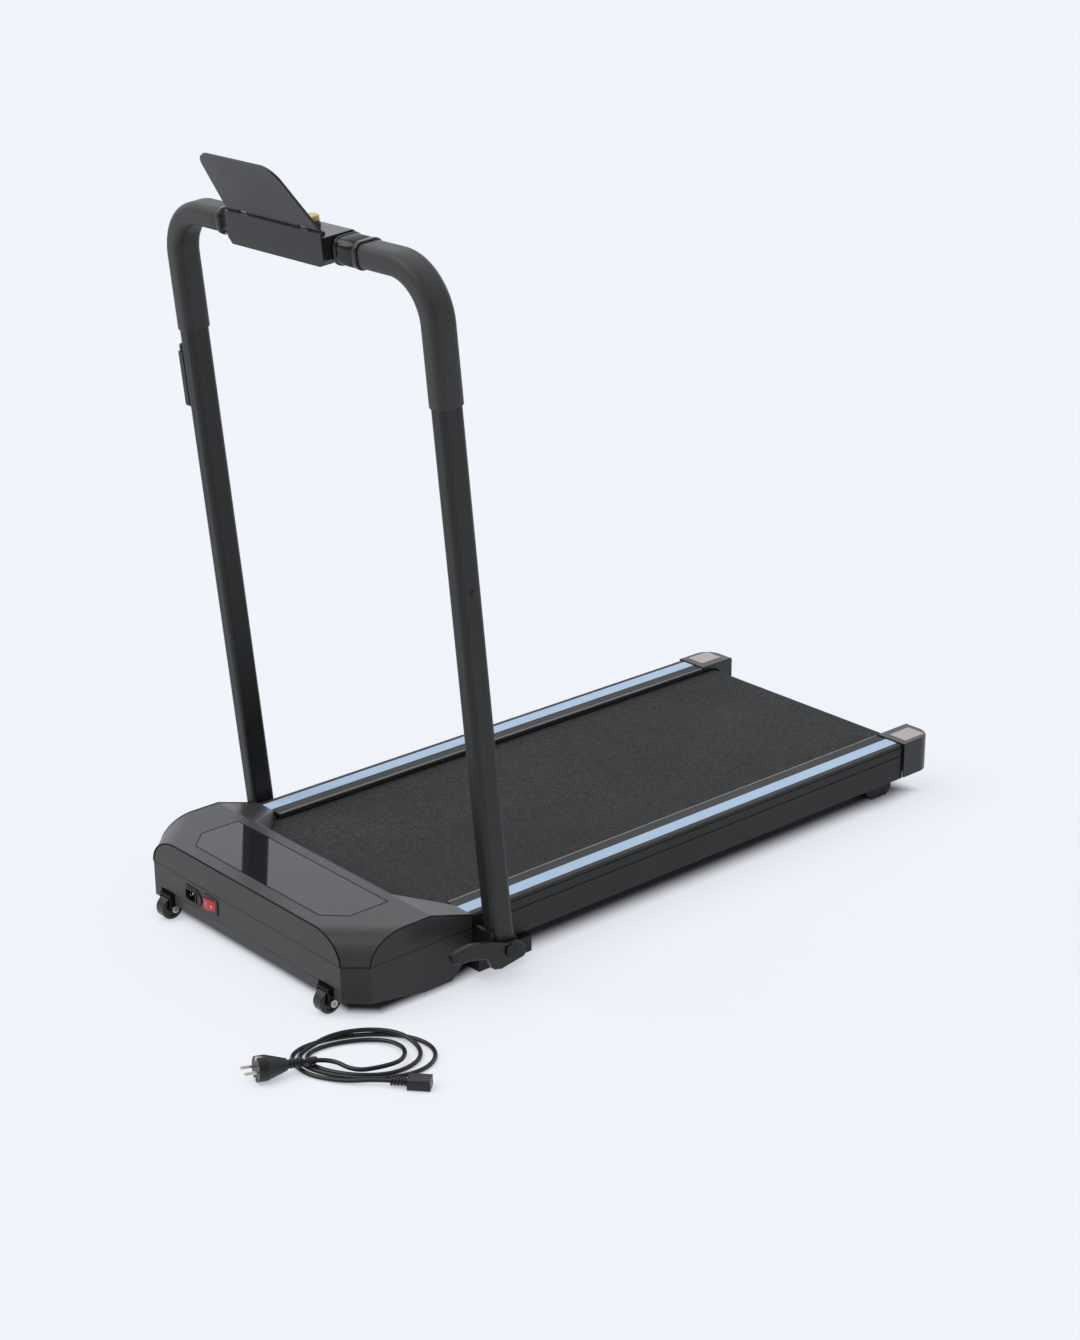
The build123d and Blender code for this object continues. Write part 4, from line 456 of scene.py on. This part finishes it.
def skin(name, rings, closed, loop):
    """Mesh over a list of rings of points, with its two ends closed or the last ring joined to the first."""
    form = bmesh.new()
    rows = [[form.verts.new(point) for point in ring] for ring in rings]
    count = len(rows[0])
    for row, following in zip(rows, rows[1:] + (rows[:1] if loop else [])):
        for index in range(count):
            after = (index + 1) % count
            form.faces.new((row[index], row[after], following[after], following[index]))
    if closed and not loop:
        form.faces.new(list(reversed(rows[0])))
        form.faces.new(rows[-1])
    bmesh.ops.recalc_face_normals(form, faces=form.faces)
    mesh = bpy.data.meshes.new(name)
    form.to_mesh(mesh)
    form.free()
    return mesh


def piece(name, rings, material, body, closed=True, loop=False, smooth=True):
    """New object over rings of points, which moves with a body."""
    mesh = skin(name, rings, closed, loop)
    mesh.materials.append(material)
    for polygon in mesh.polygons:
        polygon.use_smooth = smooth
    made = bpy.data.objects.new(name, mesh)
    scene.collection.objects.link(made)
    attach(made, body)
    return made


def sided(name, side):
    return name + ("_left" if side > 0 else "_right")


def circle(steps):
    """Points round a circle of radius 1."""
    angles = [2 * math.pi * step / steps for step in range(steps)]
    return [(math.cos(a), math.sin(a)) for a in angles]


def rounded_section(half_a, half_b, corner, steps=6):
    """Points round a rectangle with rounded corners."""
    points = []
    for quarter, (sa, sb) in enumerate(((1, 1), (-1, 1), (-1, -1), (1, -1))):
        for step in range(steps + 1):
            angle = math.pi / 2 * (quarter + step / steps)
            points.append((
                sa * (half_a - corner) + corner * math.cos(angle),
                sb * (half_b - corner) + corner * math.sin(angle),
            ))
    return points


def tube_ring(side, centre, out, grow):
    """Points round the handrail's tube, at a distance from its surface."""
    points = []
    for a, b in rounded_section(TUBE_HALF_A + grow, TUBE_HALF_B + grow, TUBE_CORNER + grow):
        local = centre + out * a + Vector((0, b, 0))
        local.x *= side
        points.append(HANDRAIL @ local)
    return points


def lathe(where, profile, steps=24):
    """Rings about the X axis of a place, from pairs of distance along it and radius."""
    return [
        [where @ Vector((along, radius * a, radius * b)) for a, b in circle(steps)]
        for along, radius in profile
    ]


def grip_sleeve(side, material):
    """Foam sleeve from the console's collar round the bend and down the upright."""
    start_x, end_w, wall = 0.165, 0.840, 0.0025
    bend_x, bend_w, bend_steps = UPRIGHT_X - BEND_R, CROSSBAR_W - BEND_R, 24
    lip = ((0.0, -wall), (0.0, -0.0007), (0.0004, -0.0003), (0.0012, 0.0))
    stations = [(Vector((x, 0, CROSSBAR_W)), UP) for x in (start_x, start_x + 0.02, bend_x)]
    for step in range(1, bend_steps):
        angle = math.pi / 2 * (1 - step / bend_steps)
        out = Vector((math.cos(angle), 0, math.sin(angle)))
        stations.append((Vector((bend_x, 0, bend_w)) + out * BEND_R, out))
    for w in (bend_w, 0.92, 0.88, end_w + 0.01, end_w):
        stations.append((Vector((UPRIGHT_X, 0, w)), OUTWARD))
    (first, first_out), *middle, (last, last_out) = stations
    rings = [tube_ring(side, first + OUTWARD * along, first_out, wall + drop) for along, drop in lip]
    rings += [tube_ring(side, centre, out, wall) for centre, out in middle]
    rings += [tube_ring(side, last + UP * along, last_out, wall + drop) for along, drop in reversed(lip)]
    sleeve = piece(sided("foam_grip", side), rings, material, "handrail", closed=False)
    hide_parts(sided("grip", side))


def rail_trim(side, materials):
    """Light strip on a rail's inner edge, a painted highlight where the rounded edge would catch the light,
    and a black band between the rail and its rear cap, painted shadow in the gap there.
    """
    bead_x, bead_z, bead_r = 0.2132, 0.1052, 0.0017
    beads = [
        [(side * (bead_x + bead_r * a), FRONT_Y + depth, bead_z + bead_r * b) for a, b in circle(12)]
        for depth in (0.2235, 0.46, 0.70, 0.94, 1.1733)
    ]
    piece(sided("rail_bead", side), beads, materials["edge_highlight"], "deck")
    # Black band: painted shadow in the gap between the rail and its cap.
    outer = [(0.2706, 0.0462), (0.2706, 0.1032), (0.2674, 0.1067), (0.2125, 0.1067)]
    inner = [(0.2125, 0.1059), (0.2668, 0.1059), (0.2698, 0.1026), (0.2698, 0.0462)]
    bands = [[(side * x, FRONT_Y + depth, z) for x, z in outer + inner] for depth in (1.1734, 1.1769)]
    piece(sided("cap_gap_shade", side), bands, materials["painted_shade"], "deck", smooth=False)


def upright_plug(side, material):
    """Low domed plug in an upright's outer face."""
    where = Matrix.Translation((side * 0.314, -0.4175, 0.625)) @ Matrix.Scale(side, 4, OUTWARD)
    profile = ((-0.0004, 0.0064), (0.0006, 0.0063), (0.0012, 0.0056), (0.0016, 0.0040), (0.0018, 0.0015))
    piece(sided("upright_plug", side), lathe(where, profile), material, "handrail")


def fork_notch_shade(side, material):
    """Black plate round a caster fork, behind the notch in the hood's front: painted shade that darkens the
    notch.
    """
    half = ((0.0142, 0.0417), (0.0142, 0.0270), (0.0215, 0.0270), (0.0215, 0.0470), (0.0195, 0.0490))
    outline = half + tuple((-x, z) for x, z in reversed(half))
    rings = [[(side * CASTER_X + x, FRONT_Y + depth, z) for x, z in outline] for depth in (0.0032, 0.0050)]
    piece(sided("fork_notch_shade", side), rings, material, "deck", smooth=False)


def console_collar(side, material):
    """Stepped collar between the console and a grip, with a groove before its flange."""
    profile = (
        (0.1122, 0.0003), (0.1122, 0.0052), (0.1128, 0.0060), (0.1180, 0.0060), (0.1188, 0.0052),
        (0.1192, 0.0044), (0.1200, 0.0042), (0.1530, 0.0042), (0.1534, 0.0032), (0.1552, 0.0032),
        (0.1556, 0.0044), (0.1562, 0.0051), (0.1570, 0.0053), (0.1630, 0.0053), (0.1642, 0.0049),
        (0.1647, 0.0040), (0.1647, 0.0003),
    )
    rings = [tube_ring(side, Vector((x, 0, CROSSBAR_W)), UP, grow) for x, grow in profile]
    return piece(sided("collar", side), rings, material, "handrail", loop=True)


def hood_shadow_lines(material):
    """Dark line along the outline of the flat front and side panels of the hood's cover, painted shadow
    standing for the narrow gap along these edges.
    """
    lowest, outermost = 0.0858, 0.26
    form = bmesh.new()
    form.from_mesh(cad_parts["hood_cover"].data)
    bmesh.ops.remove_doubles(form, verts=form.verts, dist=1e-5)
    for label, facing, radius in (
        ("front", Vector((0, -1, 0)), 0.0012), ("left", OUTWARD, 0.0009), ("right", -OUTWARD, 0.0009),
    ):
        links = {}
        for edge in form.edges:
            if len(edge.link_faces) != 2 or max(v.co.z for v in edge.verts) < lowest:
                continue
            beside, panel = sorted(face.normal.dot(facing) for face in edge.link_faces)
            if panel > 0.999 and beside < 0.99 and all(v.co.dot(facing) > outermost for v in edge.verts):
                for one, other in (edge.verts, reversed(edge.verts)):
                    links.setdefault(one, []).append(other)
        if not links:
            continue
        ends = [v for v in links if len(links[v]) == 1] or list(links)
        path = [min(ends, key=lambda v: tuple(v.co))]
        ahead = links[path[0]]
        while ahead:
            path.append(ahead[0])
            ahead = [v for v in links[path[-1]] if v not in path]
        rings = []
        for index, vert in enumerate(path):
            along = path[min(index + 1, len(path) - 1)].co - path[max(index - 1, 0)].co
            across = along.cross(facing).normalized()
            rings.append([vert.co + radius * (a * facing + b * across) for a, b in circle(8)])
        piece("hood_shadow_line_" + label, rings, material, "deck")
    form.free()


def window_groove_shade(material):
    """Thin raised dark line round the hood's display window, painted shade standing for the groove round it.
    """
    half = [(0.158, 0.026), (0.190, 0.058), (0.190, 0.1275)]
    section = ((-0.0008, 0.1296), (-0.0006, 0.1303), (0.0006, 0.1304), (0.0009, 0.1296))
    corners = [Vector(c) for c in half + [(-x, y) for x, y in reversed(half)]]
    rings = []
    for index, at in enumerate(corners):
        into = (at - corners[index - 1]).normalized()
        out = (corners[(index + 1) % len(corners)] - at).normalized()
        mitre = Vector((into.y + out.y, -into.x - out.x))
        mitre /= 0.5 * mitre.dot(mitre)
        places = [(at + mitre * shift, z) for shift, z in section]
        rings.append([(point.x, FRONT_Y + point.y, z) for point, z in places])
    piece("window_groove_shade", rings, material, "deck", loop=True)


def inlet_rim(material):
    """Raised rim round the mains socket."""
    corner = 0.003
    steps = (  # half width, half height, and how far it stands out from the panel
        (0.0148, 0.0111, 0.0018), (0.0146, 0.0109, 0.0034), (0.0142, 0.0105, 0.0038),
        (0.0130, 0.0092, 0.0038), (0.0126, 0.0088, 0.0034), (0.0125, 0.0087, 0.0018),
    )
    rings = [
        [(INLET_X + a, FRONT_Y - proud, INLET_Z + b) for a, b in rounded_section(half_w, half_h, corner)]
        for half_w, half_h, proud in steps
    ]
    piece("inlet_rim", rings, material, "deck", loop=True)


def switch_marks(material):
    """Bar and ring on the rocker's two facets."""
    offset, low, high = 0.0068, -0.0003, 0.00025
    outer, inner = 0.0026, 0.0016
    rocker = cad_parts["switch_rocker"].data
    surface = BVHTree.FromPolygons([v.co for v in rocker.vertices], [p.vertices for p in rocker.polygons])

    def facet(shift):
        """Function from a place on a facet, and a height over it, to a point."""
        start = Vector((SWITCH_X + shift, FRONT_Y - 0.05, SWITCH_Z))
        at, normal, _, _ = surface.ray_cast(start, Vector((0, 1, 0)))
        across = UP.cross(normal).normalized()
        return lambda a, b, rise: at + across * a + Vector((0, 0, b)) + normal * rise

    on_facet = facet(-offset)
    section = rounded_section(0.0006, outer, 0.0005, 3)
    bar = [[on_facet(a, b, rise) for a, b in section] for rise in (low, high)]
    piece("switch_mark_bar", bar, material, "switch_rocker")
    on_facet = facet(offset)
    steps = ((outer, low), (outer, high), (inner, high), (inner, low))
    ring = [[on_facet(r * a, r * b, rise) for a, b in circle(28)] for r, rise in steps]
    piece("switch_mark_ring", ring, material, "switch_rocker", loop=True)


def axle_hole_shades(material):
    """Black disc in the left end of each caster axle, painted shade standing for the hollow in its end."""
    profile = ((-0.0002, 0.0027), (0.0002, 0.0026), (0.0003, 0.0022), (-0.0001, 0.0014))
    for side in (1, -1):
        where = Matrix.Translation((side * CASTER_X + 0.018, FRONT_Y + 0.001, 0.019))
        piece(sided("axle_hole_shade", side), lathe(where, profile, 12), material, "deck")


# Cord

def plug_details(materials):
    """Earth clips on the plug's rim, and the ribbed tie on its lead. Gives their names."""
    where = CORD @ PLUG
    half_width, half_thick = 0.0026, 0.0002
    strip = (  # along the plug's axis, out from it, and how far it has turned over the rim
        (0.0092, 0.0186, 0.0), (0.0010, 0.0187, 0.0), (-0.0002, 0.0184, 0.7), (-0.0004, 0.0172, 1.0),
        (-0.0004, 0.0128, 1.0),
    )
    names = []
    for name, side in (("earth_clip_upper", 1), ("earth_clip_lower", -1)):
        rings = []
        for along, out, bend in strip:
            lift = Vector((-bend, 0, side * (1 - bend))).normalized() * half_thick
            centre = Vector((along, 0, side * out))
            rings.append([
                where @ (centre + lift * up + Vector((0, across * half_width, 0)))
                for across, up in ((-1, -1), (1, -1), (1, 1), (-1, 1))
            ])
        names.append(piece(name, rings, materials["pins"], "deck").name)
    start, end, bore, root, crest, pitch = 0.0762, 0.0888, 0.0036, 0.0046, 0.0053, 0.003
    profile = [(start, bore), (start, root)]
    for rib in range(4):
        rise = start + 0.0002 + pitch * rib
        profile += [(rise, crest), (rise + 0.0014, crest), (rise + 0.0017, root), (rise + 0.0027, root)]
    profile += [(end, root), (end, bore)]
    tie = piece("cord_tie", lathe(where, profile), materials["plug"], "deck", loop=True)
    return names + [tie.name]


def bulge(angle, start, end):
    """Smooth rise and fall between two angles."""
    share = min(max((angle - start) / (end - start), 0.0), 1.0)
    return math.sin(math.pi * share) ** 2


def coil_at(angle):
    """Place on the cord's turns, pinched beside the plug and loose at the far end."""
    left = COIL_TURNS - angle / 360
    turn = math.radians(angle - COIL_START)
    ease = min(angle / 180.0, 1.0)
    pinch = 1 - COIL_PINCH * (1 - math.cos(turn)) / 2
    over = bulge(angle, 440, 580)  # where a turn passes over the others
    loose = 0.012 * over - 0.007 * bulge(angle, 10, 130) - 0.005 * bulge(angle, 350, 450)
    half_x = COIL_SWELL * (COIL_HALF_X - COIL_HALF_X_STEP * left + loose)
    half_y = COIL_SWELL * pinch * (COIL_HALF_Y - COIL_HALF_Y_STEP * left + loose)
    entry = COIL_ENTRY * (1 - ease * ease * (3 - 2 * ease))
    return Vector((
        COIL_X - COIL_X_STEP * left + half_x * math.cos(turn),
        COIL_Y + half_y * math.sin(turn),
        COIL_Z + entry + COIL_CROSSING * min(1.0, 2.5 * over),
    ))


def mains_cord(material, extras):
    """Loose mains lead from the plug's relief through the turns to the connector's relief."""
    last = COIL_TURNS * 360
    coil = [coil_at(30.0 * index) for index in range(int(COIL_TURNS * 12) + 1)]
    into = (coil_at(1.0) - coil_at(0.0)).normalized()
    out = (coil_at(last) - coil_at(last - 1.0)).normalized()
    connector_turn = math.radians(-7.5)
    connector = Vector((0.109, -0.062, 0.0085))
    heading = Vector((math.cos(connector_turn), math.sin(connector_turn), 0))
    route = [PLUG @ Vector((along, 0, 0)) for along in (PLUG_LENGTH, PLUG_LENGTH + 0.037)]
    route += [coil[0] - into * 0.040] + coil + [coil[-1] + out * 0.026]
    route += [Vector((0.020, -0.048, 0.0036)), Vector((0.050, -0.057, 0.005))]
    route += [connector - heading * 0.024, connector]
    curve = bpy.data.curves.new("mains_cord", "CURVE")
    curve.dimensions = "3D"
    curve.bevel_depth = CORD_R
    curve.bevel_resolution = 6
    curve.resolution_u = 8
    curve.use_fill_caps = True
    spline = curve.splines.new("NURBS")
    spline.points.add(len(route) - 1)
    for point, at in zip(spline.points, route):
        point.co = (*(CORD @ at), 1.0)
    spline.order_u = 3
    spline.use_endpoint_u = True
    curve.materials.append(material)
    cord = bpy.data.objects.new("mains_cord", curve)
    scene.collection.objects.link(cord)
    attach(cord, "deck")
    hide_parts("cord_hank", "plug_lead", "connector_lead")


# Stage

def seen_directly(tree):
    """1 for rays that show the floor or the background itself, and 1 for those of them in reflections."""
    path = add(tree, "LightPath").outputs
    seen = maths(tree, "MAXIMUM", path["Is Camera Ray"], path["Is Glossy Ray"])
    return maths(tree, "MAXIMUM", seen, path["Is Transmission Ray"]), path["Is Glossy Ray"]


def make_world():
    """Even fill light, a pale background, and reflections that are brighter towards one side."""
    world = bpy.data.worlds.new("studio")
    scene.world = world
    world.use_nodes = True
    tree = world.node_tree
    tree.nodes.clear()
    seen, reflected = seen_directly(tree)
    towards = dot(tree, add(tree, "TexCoord").outputs["Generated"], BACKDROP_SIDE)
    studio = spread(tree, towards, 0.35, 1.35, -0.5, 0.7)
    level = maths(tree, "MULTIPLY", reflected, maths(tree, "SUBTRACT", studio, 1.0))
    fill = add(tree, "Background", {"Color": (*FILL, 1.0), "Strength": 1.0})
    shown = add(tree, "Background", {"Color": (*PALE, 1.0), "Strength": maths(tree, "ADD", level, 1.0)})
    both = add(tree, "MixShader", {0: seen, 1: fill.outputs[0], 2: shown.outputs[0]})
    add(tree, "OutputWorld", {"Surface": both.outputs[0]})


def make_lights():
    key = bpy.data.lights.new("key", "SUN")
    key.energy = SUN
    key.angle = math.radians(SUN_SPREAD)
    lamp = bpy.data.objects.new("key", key)
    lamp.rotation_euler = (-SUN_FROM).to_track_quat("-Z", "Y").to_euler()
    scene.collection.objects.link(lamp)


def painted_floor_shadow(tree):
    """Painted shadow under the machine: 1 on open floor, falling to 0 under the machine, sooner under the
    low hood than under the rails.
    """
    chamfer, slant = 0.052, 0.7
    hood_reach, rail_reach = 0.026, 0.054  # how far in from the sides it is fully dark
    hood_end, front_edge, rear_edge = (0.19, 0.30), (0.014, 0.034), (1.200, 1.250)  # depths
    axes = add(tree, "SeparateXYZ", {"Vector": add(tree, "NewGeometry").outputs["Position"]}).outputs
    depth = maths(tree, "SUBTRACT", axes["Y"], FRONT_Y)
    side = maths(tree, "SUBTRACT", HALF_WIDTH, maths(tree, "ABSOLUTE", axes["X"]))
    corner = maths(tree, "SUBTRACT", maths(tree, "ADD", side, depth), chamfer)
    corner = maths(tree, "MULTIPLY", corner, slant)
    reach = spread(tree, depth, hood_reach, rail_reach, *hood_end)
    inset = maths(tree, "DIVIDE", maths(tree, "MINIMUM", side, corner), reach)
    inset = maths(tree, "MINIMUM", inset, spread(tree, depth, 0.0, 1.0, *front_edge))
    inset = maths(tree, "MINIMUM", inset, spread(tree, depth, 1.0, 0.0, *rear_edge))
    limits = {"Value": inset, "To Min": 1.0, "To Max": 0.0}
    return add(tree, "MapRange", limits, interpolation_type="SMOOTHSTEP").outputs["Result"]


def make_floor():
    """Pale floor that keeps the object's shadow and meets the background without a line; a painted shadow
    dims its glow close to and under the machine.
    """
    sunlight = SUN / math.pi * SUN_FROM.normalized().z
    colour = [(1 - FLOOR_GLOW) * pale / (fill + sunlight) for pale, fill in zip(PALE, FILL)]
    mesh = bpy.data.meshes.new("floor")
    corners = [(a * FLOOR_SIZE, b * FLOOR_SIZE, 0) for a, b in ((-1, -1), (1, -1), (1, 1), (-1, 1))]
    mesh.from_pydata(corners, [], [(0, 1, 2, 3)])
    floor = bpy.data.objects.new("floor", mesh)
    floor.location.z = FLOOR_Z
    scene.collection.objects.link(floor)
    material = bpy.data.materials.new("studio_floor")
    material.use_nodes = True
    tree = material.node_tree
    tree.nodes.clear()
    seen, _ = seen_directly(tree)
    # Painted shadow: the glow dims where ambient occlusion finds the machine close by, and under its
    # footprint.
    near = add(tree, "AmbientOcclusion", {"Distance": 0.06}, samples=8).outputs["AO"]
    painted_contact_shadow = maths(tree, "MULTIPLY", spread(tree, near, 0.6, 1.0, 0.15, 0.75), painted_floor_shadow(tree))
    strength = maths(tree, "MULTIPLY", maths(tree, "MULTIPLY", seen, FLOOR_GLOW), painted_contact_shadow)
    glow = add(tree, "Emission", {"Color": (*PALE, 1.0), "Strength": strength})
    paint = add(tree, "BsdfDiffuse", {"Color": (*colour, 1.0)})
    both = add(tree, "AddShader", {0: glow.outputs[0], 1: paint.outputs[0]})
    add(tree, "OutputMaterial", {"Surface": both.outputs[0]})
    mesh.materials.append(material)


scene.view_settings.view_transform = "Standard"
make_camera()
materials = make_materials()
dress_nodes(materials)
mains_cord(materials["cord"], plug_details(materials))
for side in (1, -1):
    grip_sleeve(side, materials["foam"])
    rail_trim(side, materials)
    upright_plug(side, materials["tube"])
    fork_notch_shade(side, materials["painted_shade"])
collars = [console_collar(side, materials["collar"]) for side in (1, -1)]
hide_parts("console_collars")
hood_shadow_lines(materials["painted_shade"])
window_groove_shade(materials["painted_shade"])
inlet_rim(materials["bezel"])
switch_marks(materials["mark"])
axle_hole_shades(materials["painted_shade"])
make_world()
make_lights()
make_floor()
